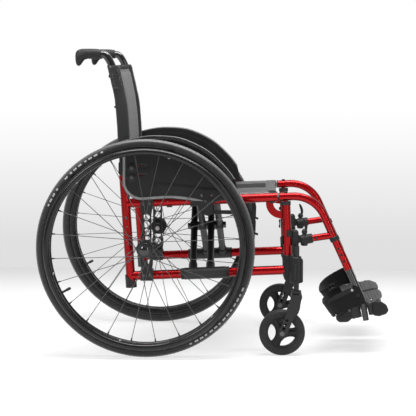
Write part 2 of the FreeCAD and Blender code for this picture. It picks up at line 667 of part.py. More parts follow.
def footplate():
    plan = rounded_wire([(-76, PLATE_INNER), (58, PLATE_INNER), (60, 110),
                         (42, 188), (-62, 188), (-76, 160)],
                        [10, 10, 40, 16, 12, 16],
                        lambda forward, out: plate_point(forward, out, -1.0))
    sheet = Part.Face(plan).extrude(PLATE_UP * 9.0)
    outer_lobe = side_plate(
        [(516.5, 102), (533, 110), (545, 121), (552, 126.5), (598, 137.8), (622, 142.5),
         (640, 141.5), (655, 132), (661.5, 118), (655, 107.5), (634.6, 100.8), (622, 102.5),
         (609, 98.9), (583, 95), (566, 94), (556, 84), (526, 83.5), (519, 90)],
        -199.0, -186.0, [5, 5, 5, 5, 0, 10, 12, 10, 6, 10, 10, 5, 5, 0, 5, 8, 8, 6])
    hinge_blocks = [plate_box(-32, -14, 176, 190, -14, 7.9), plate_box(14, 32, 176, 190, -14, 7.9)]
    plate = fuse(sheet, outer_lobe, *hinge_blocks)
    return cut(plate, plate_box(-13.8, 13.8, 172, 205, -60, 20),
               hinge_rod(36.5, HINGE_PIN_R + FIT))


def heel_loop():
    """Strap looped behind the heel, trimmed where the footplate passes through."""
    origin = Vector(552.0, 0, 184.0)
    ahead, across = Vector(0.891, 0, 0.454), Vector(0.454, 0, -0.891)
    # distance ahead, distance off the centre plane
    outline = [(22, 223.5), (-55, 223.5), (-84, 188), (-84, 60), (-66, 40), (-30, 40),
               (-30, 43), (-64, 43), (-81, 62), (-81, 187), (-53.5, 220.5), (22, 220.5)]
    wire = rounded_wire(outline, [0, 16, 22, 22, 12, 0, 0, 10, 20, 20, 14, 0],
                        lambda along, out: origin + ahead * along + Vector(0, -out, 0))
    loop = Part.Face(wire).extrude(across * 48)
    loop = cut(loop, plate_box(-90, 90, 0, 206, -80, 9.5).common(block(514, 700, -230, 0, 0, 300)))
    return fuse(loop, y_rod(575, 176, -221.5, -219.6, 4.0))


# ---- cross brace, drawn in the pitched axes -----------------------------------------------------
ARM_R, ARM_PITCH = 9.5, 24.0
ARMS = [134.5 + ARM_PITCH * i for i in range(4)]   # brace A has the even arms, B the odd
BOSS_HALF = 10.5            # half length of a pivot boss
SLEEVE = (111.5, 225.4)     # ends of the sleeve on the lower tube
RAIL = (-17.0, 373.5)       # ends of the seat rail
BOLT_R = 5.0
# the arms cross on the centre plane at this pitched height
PIVOT_UP = LOWER_UP + (RAIL_UP - LOWER_UP) * FRAME_Y / (FRAME_Y + RAIL_Y)


def cross_brace(side, arms):
    """side 1: foot on the right lower tube, rail on the left; -1: the other way round."""
    foot_y, rail_y = side * FRAME_Y, -side * RAIL_Y
    rise_y, rise_up = rail_y - foot_y, RAIL_UP - LOWER_UP
    socket = 42 / math.hypot(rise_y, rise_up)   # socket length as a share of the arm
    pieces = [pitched_rod(*SLEEVE, foot_y, LOWER_UP, 16.2),
              pitched_rod(*RAIL, rail_y, RAIL_UP, RAIL_R)]
    for arm in arms:
        foot = pitched(arm, foot_y, LOWER_UP)
        socket_end = pitched(arm, foot_y + rise_y * socket, LOWER_UP + rise_up * socket)
        pieces += [rod(foot, pitched(arm, rail_y, RAIL_UP), ARM_R), rod(foot, socket_end, 12.0)]
    for arm in arms:
        pieces.append(pitched_rod(arm - BOSS_HALF, arm + BOSS_HALF, 0, PIVOT_UP, 13.5))
    return cut(fuse(*pieces),
               pitched_rod(SLEEVE[0] - 5, SLEEVE[1] + 5, foot_y, LOWER_UP, TUBE_R + FIT),
               pitched_rod(100, 240, 0, PIVOT_UP, BOLT_R + FIT))


def pivot_bolt():
    """Bolt with its nut, and a washer between each pair of neighbouring bosses."""
    def on_pivot(start, end, radius):
        return pitched_rod(start, end, 0, PIVOT_UP, radius)

    bolt = fuse(on_pivot(117.5, 222.5, BOLT_R), on_pivot(116.0, 123.9, 9.0))
    nut = cut(on_pivot(217.1, 225.0, 9.0), on_pivot(210, 230, BOLT_R + TIGHT_FIT))
    washers = []
    for arm in ARMS[:-1]:
        start = arm + BOSS_HALF + FIT
        end = arm + ARM_PITCH - BOSS_HALF - FIT
        washers.append(cut(on_pivot(start, end, 12.0),
                           on_pivot(start - 2, end + 2, BOLT_R + 0.06)))
    return [bolt, nut] + washers


# ---- upholstery ---------------------------------------------------------------------------
def seat_sling():
    """Sheet drawn tight over both rails and down their outer sides."""
    rear, front = -15.0, 370.5
    outer, inner = 195.0, 194.1
    bottom, top, under = RAIL_UP + 0.8, RAIL_UP + 13.4, RAIL_UP + 11.2
    section = rounded_wire([(-outer, bottom), (-outer, top), (outer, top), (outer, bottom),
                            (inner, bottom), (inner, under), (-inner, under), (-inner, bottom)],
                           [0, 12.0, 12.0, 0, 0, 11.0, 11.0, 0],
                           lambda y, up: pitched(rear, y, up))
    return Part.Face(section).extrude(FORWARD * (front - rear))


# (x, z) stations up the cane
BACK_STATIONS = [(-64.9, 533), (-65.2, 590), (-71.3, 673), (-79.6, 722), (-94.6, 786)]


def back_slab(behind, y, width):
    """Slab that follows the cane, from behind it to its front face."""
    rear = [Vector(x - behind, y, z) for x, z in BACK_STATIONS]
    front = [Vector(x + 19.0, y, z) for x, z in BACK_STATIONS]
    face = Part.Face(Part.Wire([spline_edge(rear), Part.makeLine(rear[-1], front[-1]),
                                spline_edge(front), Part.makeLine(front[0], rear[0])]))
    return face.extrude(Vector(0, width, 0))


def back_upholstery():
    """Sleeves on both canes joined by a padded panel."""
    back = back_slab(13.5, -213.5, 31)
    back = back.fuse([back_slab(13.5, 182.5, 31), back_slab(-4.0, -184, 368)])
    room = cane_room()
    return cut(back, room, mirror(room))


# ---- place and export -------------------------------------------------------------------------
def export(name, shapes):
    solids = []
    for shape in shapes:
        for solid in shape.Solids:
            moved = solid.copy()
            moved.translate(Vector(-AXLE_TO_ORIGIN, 0, 0))
            solids.append(moved)
    whole = solids[0] if len(solids) == 1 else Part.Compound(solids)
    whole.exportStep(os.path.join("parts", name + ".step"))


# each builder's name is the part's name
SIDED = (side_frame, plastic_fittings, back_cane, push_grip, side_guard, axle_plate, axle_pin,
         release_button, wheel_tyre, wheel_rim, wheel_hub, wheel_spokes, handrim, frame_screws,
         brake_base, brake_lever, caster_housing, caster_fork, caster_bolt, caster_tyre,
         caster_hub, hanger, hanger_latch, latch_lever, footrest_tube, footplate, heel_loop)
for build in SIDED:
    built = build()
    group = built if isinstance(built, list) else [built]
    export(build.__name__ + "_right", group)
    export(build.__name__ + "_left", [mirror(shape) for shape in group])

export("cross_brace_a", [cross_brace(1, ARMS[0::2])])
export("cross_brace_b", [cross_brace(-1, ARMS[1::2])])
export("pivot_bolt", pivot_bolt())
export("seat_sling", [seat_sling()])
export("back_upholstery", [back_upholstery()])
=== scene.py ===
"""A folding wheelchair, with its studio.

x runs forward and z up from the floor; the chair's right side lies at -y, its left at +y.
Parts are drawn in millimetres as (x, w, z): x forward from the rear axle line, w outward
from the centre plane, z up. Part.make mirrors them and moves them to the frame, in metres.
"""
import bpy, bmesh, random
import numpy as np
from math import acos, atan2, copysign, cos, degrees, exp, hypot, pi, radians, sin, sqrt, tan
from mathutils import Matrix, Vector, noise
from mathutils.geometry import delaunay_2d_cdt


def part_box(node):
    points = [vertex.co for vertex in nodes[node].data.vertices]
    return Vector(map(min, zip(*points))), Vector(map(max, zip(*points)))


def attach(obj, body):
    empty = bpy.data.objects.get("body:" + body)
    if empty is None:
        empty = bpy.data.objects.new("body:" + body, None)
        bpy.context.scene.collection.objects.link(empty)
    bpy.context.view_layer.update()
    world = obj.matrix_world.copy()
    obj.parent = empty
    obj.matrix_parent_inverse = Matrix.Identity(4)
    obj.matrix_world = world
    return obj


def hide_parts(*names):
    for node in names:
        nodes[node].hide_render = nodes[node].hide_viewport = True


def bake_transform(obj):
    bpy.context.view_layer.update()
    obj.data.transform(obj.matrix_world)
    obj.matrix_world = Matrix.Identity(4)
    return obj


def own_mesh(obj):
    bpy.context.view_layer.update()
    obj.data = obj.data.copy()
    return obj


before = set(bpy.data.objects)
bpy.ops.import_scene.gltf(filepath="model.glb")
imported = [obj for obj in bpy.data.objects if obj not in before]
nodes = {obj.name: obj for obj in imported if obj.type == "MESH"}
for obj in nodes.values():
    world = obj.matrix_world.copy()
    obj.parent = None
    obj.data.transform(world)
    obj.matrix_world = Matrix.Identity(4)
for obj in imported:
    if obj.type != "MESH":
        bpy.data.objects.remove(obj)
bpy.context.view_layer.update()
random.seed(7)

SIGN = {"right": -1, "left": 1}                # which way w runs along y
SIDES = tuple(SIGN)
WHEEL_W, AXLE_Z = 280.0, 295.0                 # rear wheel mid plane and axle height
WHEEL_CENTRE = (0.0, WHEEL_W, AXLE_Z)
CASTER_CENTRE = (369.0, 238.0, 62.5)
TUBE_W = 210.0                                 # plane of the side frame and hanger tubes
SEAT_PITCH = radians(2.5)
PITCH_COS, PITCH_SIN = cos(SEAT_PITCH), sin(SEAT_PITCH)
FORWARD, OUTWARD, UPWARD = (1, 0, 0), (0, 1, 0), (0, 0, 1)

box_low, box_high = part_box("wheel_tyre_right")
ORIGIN_X = -(box_low.x + box_high.x) / 2 * 1000.0    # frame origin, from the axle line


def to_frame(points, sign=1):
    """(x, w, z) in mm to the frame in metres."""
    points = np.asarray(points, float)
    return np.stack([(points[:, 0] - ORIGIN_X) / 1000, sign * points[:, 1] / 1000,
                     points[:, 2] / 1000], 1)


def detail(full, quick):
    return full


# ------------------------------------------------------------------ materials
def grey(value):
    return (value,) * 3


def tinted(colour, factor):
    return tuple(value * factor for value in colour)


class Shader:
    """Node graph of one material. Scales are per metre, bump distances in metres."""

    def __init__(self, name):
        self.material = bpy.data.materials.new(name)
        self.material.use_nodes = True
        self.tree = self.material.node_tree
        self.tree.nodes.clear()
        self.output = self.tree.nodes.new("ShaderNodeOutputMaterial")
        self.shared = {}

    def source(self, kind, output):
        """Output of an input-less node, made once per graph."""
        if kind not in self.shared:
            self.shared[kind] = self.tree.nodes.new("ShaderNode" + kind)
        return self.shared[kind].outputs[output]

    def put(self, socket, value):
        if isinstance(value, bpy.types.NodeSocket):
            self.tree.links.new(value, socket)
        elif isinstance(value, tuple) and len(value) == 3 and socket.type == "RGBA":
            socket.default_value = (*value, 1.0)
        else:
            socket.default_value = value

    def node(self, kind, inputs, **settings):
        made = self.tree.nodes.new("ShaderNode" + kind)
        for key, value in settings.items():
            setattr(made, key, value)
        for key, value in inputs.items():
            self.put(made.inputs[key], value)
        return made

    def coords(self):
        return self.source("TexCoord", "Object")

    def split(self, vector):
        return self.node("SeparateXYZ", {"Vector": vector}).outputs

    def calc(self, operation, first, second=0.0):
        return self.node("Math", {0: first, 1: second, 2: 0.0}, operation=operation).outputs[0]

    def scaled(self, value, by, plus=None):
        product = self.calc("MULTIPLY", value, by)
        return product if plus is None else self.calc("ADD", product, plus)

    def wave(self, value, period):
        return self.calc("SINE", self.scaled(value, by=2 * pi / period))

    def noise(self, scale, detail=3.0, rough=0.5, distortion=0.0, stretch=None):
        vector = self.coords()
        if stretch:
            vector = self.node("VectorMath", {0: vector, 1: stretch},
                               operation="MULTIPLY").outputs[0]
        return self.node("TexNoise", {"Vector": vector, "Scale": scale, "Detail": detail,
                                      "Roughness": rough, "Distortion": distortion}).outputs[0]

    def cells(self, scale):
        """Voronoi outputs: distance, colour."""
        return self.node("TexVoronoi", {"Vector": self.coords(), "Scale": scale}).outputs

    def facing(self):
        return self.node("LayerWeight", {"Blend": 0.50}).outputs[1]

    def ramp(self, factor, stops):
        """stops: (position, grey or colour)."""
        made = self.tree.nodes.new("ShaderNodeValToRGB")
        elements = made.color_ramp.elements
        while len(elements) < len(stops):
            elements.new(0.5)
        for element, (position, value) in zip(elements, stops):
            element.position = position
            element.color = (*(value if isinstance(value, tuple) else grey(value)), 1.0)
        self.put(made.inputs[0], factor)
        return made.outputs[0]

    def mix(self, factor, first, second, blend="MIX"):
        return self.node("Mix", {0: factor, 6: first, 7: second},
                         data_type="RGBA", blend_type=blend).outputs[2]

    def bump(self, height, strength, distance, normal=None):
        inputs = {"Height": height, "Strength": strength, "Distance": distance}
        if normal is not None:
            inputs["Normal"] = normal
        return self.node("Bump", inputs).outputs[0]

    def edges(self, low, high):
        return self.ramp(self.source("NewGeometry", "Pointiness"), [(low, 0.0), (high, 1.0)])

    def finish(self, shader_output):
        self.tree.links.new(shader_output, self.output.inputs[0])
        return self.material

    def principled(self, **inputs):
        inputs = {key.replace("_", " "): value for key, value in inputs.items()}
        return self.finish(self.node("BsdfPrincipled", inputs).outputs[0])


def red_lacquer():
    mat = Shader("candy_red_lacquer")
    # painted shade: the red is painted darker toward grazing view, near black at the tube sides
    depth = mat.ramp(mat.facing(), [(0.0, (0.50, 0.0005, 0.003)), (0.45, (0.30, 0.0, 0.002)),
                                    (1.0, (0.045, 0.0, 0.001))])
    flake = mat.node("SeparateColor", {"Color": mat.cells(scale=2600.0)[1]}).outputs[0]
    colour = mat.mix(mat.ramp(flake, [(0.86, 0.0), (1.0, 0.025)]), depth, (0.85, 0.01, 0.01))
    dust = mat.ramp(mat.noise(scale=38.0, detail=5.0), [(0.45, 0.0), (0.75, 1.0)])
    colour = mat.mix(mat.scaled(dust, by=0.012), colour, (0.45, 0.2, 0.18))
    scratches = mat.ramp(mat.noise(scale=55.0, detail=2.0, stretch=(1.0, 30.0, 8.0)),
                         [(0.62, 0.0), (0.72, 1.0)])
    return mat.principled(
        Base_Color=colour, Metallic=0.80,
        Roughness=mat.scaled(mat.noise(scale=60.0, detail=4.0), by=0.04, plus=0.25),
        Normal=mat.bump(mat.noise(scale=300.0, detail=1.0), strength=0.004, distance=0.0003),
        Coat_Weight=0.35, Coat_Roughness=mat.scaled(scratches, by=0.06, plus=0.04),
        Coat_Normal=mat.bump(mat.noise(scale=420.0, detail=1.0), strength=0.012,
                             distance=0.0004),
        Coat_IOR=1.45)


def black_coat(name, base, rough, grain, relief, metallic, coat):
    mat = Shader(name)
    colour = mat.mix(mat.noise(scale=45.0, detail=5.0), grey(base * 0.8),
                     (base * 1.5, base * 1.5, base * 1.6))
    wear_and_painted_highlight = mat.scaled(mat.edges(low=0.53, high=0.66), by=0.35)
    return mat.principled(
        Base_Color=mat.mix(wear_and_painted_highlight, colour, grey(base * 6)), Metallic=metallic,
        Roughness=mat.scaled(mat.noise(scale=120.0, detail=4.0), by=0.16, plus=rough - 0.08),
        Normal=mat.bump(mat.noise(scale=grain, detail=2.0), strength=relief, distance=0.0004),
        Coat_Weight=coat, Coat_Roughness=0.25)


def moulded(name, base, rough, grain, relief):
    mat = Shader(name)
    colour = mat.mix(mat.noise(scale=30.0, detail=6.0), grey(base * 0.75),
                     (base * 1.4, base * 1.4, base * 1.45))
    wear_and_painted_highlight = mat.scaled(mat.edges(low=0.52, high=0.62), by=0.30)
    return mat.principled(
        Base_Color=mat.mix(wear_and_painted_highlight, colour, grey(base * 5)),
        Roughness=mat.scaled(mat.noise(scale=85.0, detail=5.0), by=0.22, plus=rough - 0.11),
        Normal=mat.bump(mat.cells(scale=grain)[0], strength=relief, distance=0.0003),
        Specular_IOR_Level=0.35)


def rubber(name, base, rough, dusty, specular=0.35, tread=0.0):
    mat = Shader(name)
    colour = mat.mix(mat.noise(scale=26.0, detail=6.0), grey(base * 0.8), grey(base * 1.35))
    dust = mat.ramp(mat.noise(scale=120.0, detail=6.0, rough=0.7), [(0.42, 0.0), (0.8, 1.0)])
    colour = mat.mix(mat.scaled(dust, by=dusty * 0.35), colour, (0.16, 0.155, 0.15))
    if tread:
        # painted highlight: the running surface is painted paler than the wall, by distance from
        # the axle line
        place = mat.split(mat.coords())
        ahead = mat.calc("ADD", place[0], ORIGIN_X / 1000.0)
        above = mat.calc("SUBTRACT", place[2], 0.295)
        radius = mat.calc("SQRT", mat.calc("ADD", mat.calc("MULTIPLY", ahead, ahead),
                                           mat.calc("MULTIPLY", above, above)))
        wear_and_painted_highlight = mat.ramp(mat.scaled(mat.calc("SUBTRACT", radius, 0.2885), by=1 / 0.0065),
                        [(0.0, 0.0), (0.45, 0.75), (1.0, 1.0)])
        colour = mat.mix(wear_and_painted_highlight, colour, mat.mix(mat.noise(scale=300.0, detail=4.0),
                                               grey(tread * 0.8), grey(tread * 1.5)))
    return mat.principled(
        Base_Color=colour, Specular_IOR_Level=specular,
        Roughness=mat.scaled(mat.noise(scale=240.0, detail=4.0), by=0.2, plus=rough - 0.1),
        Normal=mat.bump(mat.noise(scale=1800.0, detail=2.0), strength=0.16, distance=0.0003))


def weave(name, base, axes, period=0.0011, sheen=0.35, relief=0.55):
    """Woven cloth: over-under threads from two crossed waves along two object axes."""
    mat = Shader(name)
    place = mat.split(mat.coords())
    wander = mat.scaled(mat.calc("SUBTRACT", mat.noise(scale=220.0, detail=2.0), 0.5),
                        by=period * 0.5)
    warp, weft = [mat.wave(mat.calc("ADD", place[axis], wander), period) for axis in axes]
    threads = mat.scaled(mat.calc("MULTIPLY", warp, weft), by=0.5, plus=0.5)
    fibres = mat.scaled(mat.noise(scale=2400.0, detail=2.0), by=0.4)
    colour = mat.mix(threads, tinted(base, 0.72), tinted(base, 1.5))
    colour = mat.mix(mat.scaled(mat.noise(scale=14.0, detail=5.0), by=0.35), colour,
                     tinted(base, 0.8))
    lint = mat.ramp(mat.noise(scale=900.0, detail=2.0), [(0.68, 0.0), (0.8, 1.0)])
    return mat.principled(
        Base_Color=mat.mix(mat.scaled(lint, by=0.10), colour, grey(0.35)), Roughness=0.85,
        Normal=mat.bump(mat.calc("ADD", threads, fibres), strength=relief, distance=0.0004),
        Sheen_Weight=sheen, Sheen_Roughness=0.45, Sheen_Tint=(0.8, 0.8, 0.82))


def nylon(name, base, axes):
    """Tight coated nylon: fine weave, satin face."""
    mat = Shader(name)
    place = mat.split(mat.coords())
    warp, weft = [mat.wave(place[axis], period=0.0012) for axis in axes]
    threads = mat.scaled(mat.calc("MULTIPLY", warp, weft), by=0.5, plus=0.5)
    tone = mat.noise(scale=22.0, detail=6.0, rough=0.6, stretch=(0.5, 1.6, 1.0))
    colour = mat.mix(threads, tinted(base, 0.75), tinted(base, 1.35))
    colour = mat.mix(mat.ramp(tone, [(0.40, 0.0), (0.70, 0.7)]), colour, tinted(base, 0.45))
    creases = mat.noise(scale=60.0, detail=5.0, distortion=0.8, stretch=(0.6, 2.0, 1.0))
    fine = mat.bump(threads, strength=0.25, distance=0.0003)
    return mat.principled(
        Base_Color=colour, Roughness=mat.scaled(tone, by=0.2, plus=0.40 - 0.1),
        Normal=mat.bump(creases, strength=0.5, distance=0.003, normal=fine),
        Specular_IOR_Level=0.6, Sheen_Weight=0.25, Sheen_Roughness=0.4)


def webbing(name, base):
    mat = Shader(name)
    place = mat.split(mat.coords())
    rising = mat.wave(mat.calc("ADD", place[0], mat.scaled(place[2], by=1.0)), period=0.0016)
    falling = mat.calc("ADD", mat.calc("SUBTRACT", place[0], place[2]), place[1])
    product = mat.calc("MULTIPLY", rising, mat.wave(falling, period=0.0016))
    threads = mat.scaled(mat.calc("ADD", product, 1.0), by=0.5)
    colour = mat.mix(threads, grey(base * 0.7), grey(base * 1.9))
    colour = mat.mix(mat.scaled(mat.noise(scale=30.0, detail=4.0), by=0.3), colour,
                     grey(base * 0.8))
    return mat.principled(
        Base_Color=colour, Roughness=0.8, Sheen_Weight=0.06, Sheen_Roughness=0.5,
        Normal=mat.bump(threads, strength=0.5, distance=0.0005), Specular_IOR_Level=0.25)


def vinyl(name, base):
    mat = Shader(name)
    # the crease noise sets both bump and colour: painted shade in the hollows, painted highlight
    # on the ridges
    crease = mat.noise(scale=34.0, detail=5.0, distortion=0.6)
    fine = mat.bump(mat.cells(scale=900.0)[0], strength=0.12, distance=0.0003)
    return mat.principled(
        Base_Color=mat.mix(crease, grey(base * 0.8), grey(base * 1.3)),
        Roughness=mat.scaled(mat.noise(scale=160.0), by=0.15, plus=0.2),
        Normal=mat.bump(crease, strength=0.5, distance=0.004, normal=fine),
        Coat_Weight=0.3, Coat_Roughness=0.2)


def metal(name, base, rough):
    mat = Shader(name)
    brushing = mat.noise(scale=260.0, stretch=(1.0, 1.0, 40.0))
    cool = (1.0, 1.0, 1.02)
    colour = mat.mix(brushing, tinted(cool, base * 0.85), tinted(cool, base * 1.1))
    smut = mat.ramp(mat.noise(scale=70.0, detail=6.0), [(0.5, 0.0), (0.85, 1.0)])
    return mat.principled(
        Base_Color=mat.mix(mat.scaled(smut, by=0.2), colour, grey(base * 0.45)), Metallic=1.0,
        Roughness=mat.scaled(brushing, by=0.14, plus=rough - 0.07), Anisotropic=0.4,
        Normal=mat.bump(brushing, strength=0.06, distance=0.0002))


def anodised(name, base, rough):
    mat = Shader(name)
    grain = mat.noise(scale=420.0)
    colour = mat.mix(grain, grey(base * 0.8), (base * 1.35, base * 1.35, base * 1.4))
    wear_and_painted_highlight = mat.scaled(mat.edges(low=0.53, high=0.64), by=0.25)
    colour = mat.mix(wear_and_painted_highlight, colour, (0.30, 0.30, 0.31))
    scratches = mat.ramp(mat.noise(scale=90.0, detail=4.0, stretch=(12.0, 1.0, 1.0)),
                         [(0.6, 0.0), (0.75, 1.0)])
    return mat.principled(
        Base_Color=mat.mix(mat.scaled(scratches, by=0.12), colour, (0.2, 0.2, 0.21)),
        Metallic=0.55,
        Roughness=mat.scaled(mat.noise(scale=150.0, detail=4.0), by=0.16, plus=rough - 0.08),
        Normal=mat.bump(grain, strength=0.05, distance=0.0002),
        Coat_Weight=0.25, Coat_Roughness=0.2)


def gloss_coat(name, base, rough):
    mat = Shader(name)
    return mat.principled(
        Base_Color=mat.mix(mat.noise(scale=40.0, detail=4.0), grey(base * 0.6),
                           grey(base * 1.4)),
        Roughness=mat.scaled(mat.noise(scale=200.0), by=0.08, plus=rough - 0.04),
        Coat_Weight=1.0, Coat_Roughness=rough * 0.6,
        Normal=mat.bump(mat.noise(scale=300.0), strength=0.02, distance=0.0002))


def rolled_lip():
    """Guard plastic where it rolls over the tyre: a soft sheen on the roll, and a painted
    grazing highlight.
    """
    mat = Shader("guard_rolled_lip")
    colour = mat.mix(mat.noise(scale=30.0, detail=6.0), grey(0.012), grey(0.024))
    # painted highlight: the colour turns pale grey toward grazing view, as if the roll were lit
    painted_grazing_highlight = mat.ramp(mat.facing(), [(0.45, 0.0), (0.75, 0.35), (1.0, 0.9)])
    return mat.principled(
        Base_Color=mat.mix(painted_grazing_highlight, colour, (0.42, 0.42, 0.41)),
        Roughness=mat.scaled(mat.noise(scale=85.0, detail=5.0), by=0.16, plus=0.26),
        Normal=mat.bump(mat.cells(scale=1900.0)[0], strength=0.12, distance=0.0003),
        Sheen_Weight=0.5, Sheen_Roughness=0.3, Coat_Weight=0.3, Coat_Roughness=0.18)


MATERIALS = {
    "red": red_lacquer(),
    "black_tube": gloss_coat("gloss_black_tube_coat", base=0.008, rough=0.12),
    "brace_coat": black_coat("satin_black_brace_coat", base=0.012, rough=0.46, grain=900.0,
                             relief=0.10, metallic=0.0, coat=0.10),
    "black_metal": black_coat("black_textured_coat", base=0.011, rough=0.42, grain=700.0,
                              relief=0.18, metallic=0.0, coat=0.1),
    "plastic": moulded("moulded_black_plastic", base=0.014, rough=0.44, grain=1500.0,
                       relief=0.22),
    "guard": moulded("guard_black_plastic", base=0.019, rough=0.36, grain=1900.0, relief=0.14),
    "guard_lip": rolled_lip(),
    # painted highlight: the bead is the guard's black plastic, painted pale grey so its rolled
    # edge reads as lit
    "guard_bead": gloss_coat("guard_edge_painted_highlight", base=0.30, rough=0.22),
    "plate_plastic": moulded("footplate_grey_plastic", base=0.030, rough=0.42, grain=1300.0,
                             relief=0.2),
    "grip": rubber("grip_rubber", base=0.018, rough=0.5, dusty=0.25),
    "tyre": rubber("tyre_rubber", base=0.019, rough=0.42, dusty=0.6, specular=0.5, tread=0.13),
    "caster_rubber": rubber("caster_rubber", base=0.020, rough=0.5, dusty=0.35),
    "rim": anodised("black_anodised_rim", base=0.026, rough=0.26),
    "hub": anodised("black_anodised_hub", base=0.03, rough=0.3),
    "handrim": anodised("black_anodised_handrim", base=0.020, rough=0.20),
    "spoke": metal("stainless_spoke", base=0.15, rough=0.36),
    "steel": metal("zinc_steel", base=0.62, rough=0.3),
    "gloss": gloss_coat("polished_black_cap", base=0.010, rough=0.09),
    "seat": nylon("seat_nylon", base=(0.010, 0.010, 0.0105), axes=(0, 1)),
    # painted highlight: the same nylon as the seat, painted paler for the lit rail wrap
    "seat_band": nylon("seat_edge_nylon_painted_lit", base=(0.076, 0.076, 0.075), axes=(0, 2)),
    "back": weave("back_sleeve_weave", base=(0.020, 0.020, 0.021), axes=(1, 2), sheen=0.2),
    "back_panel": weave("back_panel_spacer_mesh", base=(0.072, 0.072, 0.070), axes=(1, 2),
                        period=0.0024, sheen=0.3, relief=0.8),
    "web": webbing("black_webbing", base=0.0075),
    "vinyl": vinyl("black_vinyl_patch", base=0.03),
    "dark_steel": metal("blackened_steel", base=0.16, rough=0.30),
    # paler webbing for the narrow strap along the band's top
    "web_light": webbing("webbing_strap_paler", base=0.020),
    "nipple": black_coat("black_brass_nipple", base=0.03, rough=0.28, grain=500.0,
                         relief=0.05, metallic=0.6, coat=0.2),
    "pale_mark": moulded("pale_printed_dash", base=0.30, rough=0.5, grain=900.0, relief=0.05),
    "thread": weave("stitch_thread", base=(0.05, 0.05, 0.052), axes=(0, 2), period=0.0006),
}

# material: the CAD pieces that wear it
CAD_FINISHES = {
    "red": "side_frame hanger",
    "plastic": "plastic_fittings caster_housing caster_hub hanger_latch latch_lever",
    "steel": "frame_screws axle_pin",
    "black_tube": "back_cane footrest_tube",
    "black_metal": "axle_plate brake_base brake_lever caster_fork",
    "dark_steel": "caster_bolt pivot_bolt",
    "brace_coat": "cross_brace_a cross_brace_b",
    "grip": "push_grip", "guard": "side_guard", "tyre": "wheel_tyre", "rim": "wheel_rim",
    "spoke": "wheel_spokes", "hub": "wheel_hub", "handrim": "handrim",
    "gloss": "release_button", "caster_rubber": "caster_tyre", "web": "heel_loop",
    "plate_plastic": "footplate", "seat": "seat_sling", "back": "back_upholstery",
}
CAD_MATERIAL = {piece: key for key, pieces in CAD_FINISHES.items() for piece in pieces.split()}
for name, obj in nodes.items():
    piece = name if name in CAD_MATERIAL else name.rsplit("_", 1)[0]
    material = MATERIALS[CAD_MATERIAL[piece]]
    if not obj.data.materials:
        obj.data.materials.append(material)
    for material_slot in obj.material_slots:
        material_slot.material = material


# ------------------------------------------------------------------ mesh tools
def unit(vector):
    vector = np.asarray(vector, float)
    return vector / (np.linalg.norm(vector) or 1.0)


def basis(axis):
    """Two unit vectors square to the axis, and the unit axis."""
    along = unit(axis)
    hint = np.array(UPWARD if abs(along[2]) < 0.9 else FORWARD, float)
    first = unit(hint - along * hint.dot(along))
    return first, np.cross(along, first), along


def turns(count):
    return [2 * pi * k / count for k in range(count)]


def blunt(value, power):
    """Signed power, which squares off a circle."""
    return copysign(abs(value) ** power, value)


def round_corners(points, radii, segments=6):
    points = [np.array(p, float) for p in points]
    if np.isscalar(radii):
        radii = [radii] * len(points)
    out = []
    for i, (corner, radius) in enumerate(zip(points, radii)):
        before, after = points[i - 1] - corner, points[(i + 1) % len(points)] - corner
        to_before, to_after = unit(before), unit(after)
        angle = acos(max(-1, min(1, float(to_before.dot(to_after)))))
        if radius <= 0 or angle > pi - 0.02:
            out.append(corner)
            continue
        cut = min(radius / tan(angle / 2), 0.49 * np.linalg.norm(before),
                  0.49 * np.linalg.norm(after))
        radius = cut * tan(angle / 2)
        centre = corner + unit(to_before + to_after) * (radius / sin(angle / 2))
        start = atan2(*(corner + to_before * cut - centre)[::-1])
        end = atan2(*(corner + to_after * cut - centre)[::-1])
        sweep = (end - start + pi) % (2 * pi) - pi
        for k in range(segments + 1):
            angle = start + sweep * k / segments
            out.append(centre + radius * np.array((cos(angle), sin(angle))))
    return np.array(out)


def rectangle(half_x, half_y, radius, segments):
    return round_corners([(-half_x, -half_y), (half_x, -half_y), (half_x, half_y),
                          (-half_x, half_y)], radius, segments)


def resample(points, step=None, count=None, closed=False):
    points = np.asarray(points, float)
    if closed:
        points = np.vstack([points, points[:1]])
    run = np.r_[0, np.cumsum(np.linalg.norm(np.diff(points, axis=0), axis=1))]
    count = count or max(2, int(round(run[-1] / step)) + (0 if closed else 1))
    if closed:
        stations = np.linspace(0, run[-1], count + 1)[:-1]
    else:
        stations = np.linspace(0, run[-1], count)
    return np.stack([np.interp(stations, run, column) for column in points.T], 1)


def spline(points, count):
    """Catmull-Rom through the points, evenly respaced."""
    points = np.asarray(points, float)
    points = np.vstack([2 * points[0] - points[1], points, 2 * points[-1] - points[-2]])
    out = []
    spans = len(points) - 3
    per_span = max(2, count // spans)
    for i in range(spans):
        a, b, c, d = points[i:i + 4]
        for k in range(per_span + (1 if i == spans - 1 else 0)):
            t = k / per_span
            out.append(0.5 * ((2 * b) + (c - a) * t + (2 * a - 5 * b + 4 * c - d) * t * t
                              + (3 * b - a - 3 * c + d) * t ** 3))
    return resample(np.array(out), count=count)


def rumple(point, frequency, seed):
    """Smooth noise for cloth."""
    x, y, z = point
    return noise.noise(Vector((x * frequency + seed, y * frequency - seed,
                               z * frequency + 0.37 * seed)))


def inside(point, outline):
    x, y = point
    x1, y1 = outline[:, 0], outline[:, 1]
    x2, y2 = np.roll(x1, -1), np.roll(y1, -1)
    crossed = ((y1 > y) != (y2 > y)) & (x < (x2 - x1) * (y - y1) / (y2 - y1 + 1e-12) + x1)
    return bool(np.count_nonzero(crossed) % 2)


def line_distance(points, line, closed=True):
    """Distance of each 2-D point from a polyline."""
    starts = line if closed else line[:-1]
    ends = np.roll(line, -1, axis=0) if closed else line[1:]
    out = np.full(len(points), 1e9)
    for start, end in zip(starts, ends):
        span = end - start
        t = np.clip(((points - start) @ span) / (float(span.dot(span)) or 1e-12), 0, 1)
        out = np.minimum(out, np.hypot(*(points - start - t[:, None] * span).T))
    return out


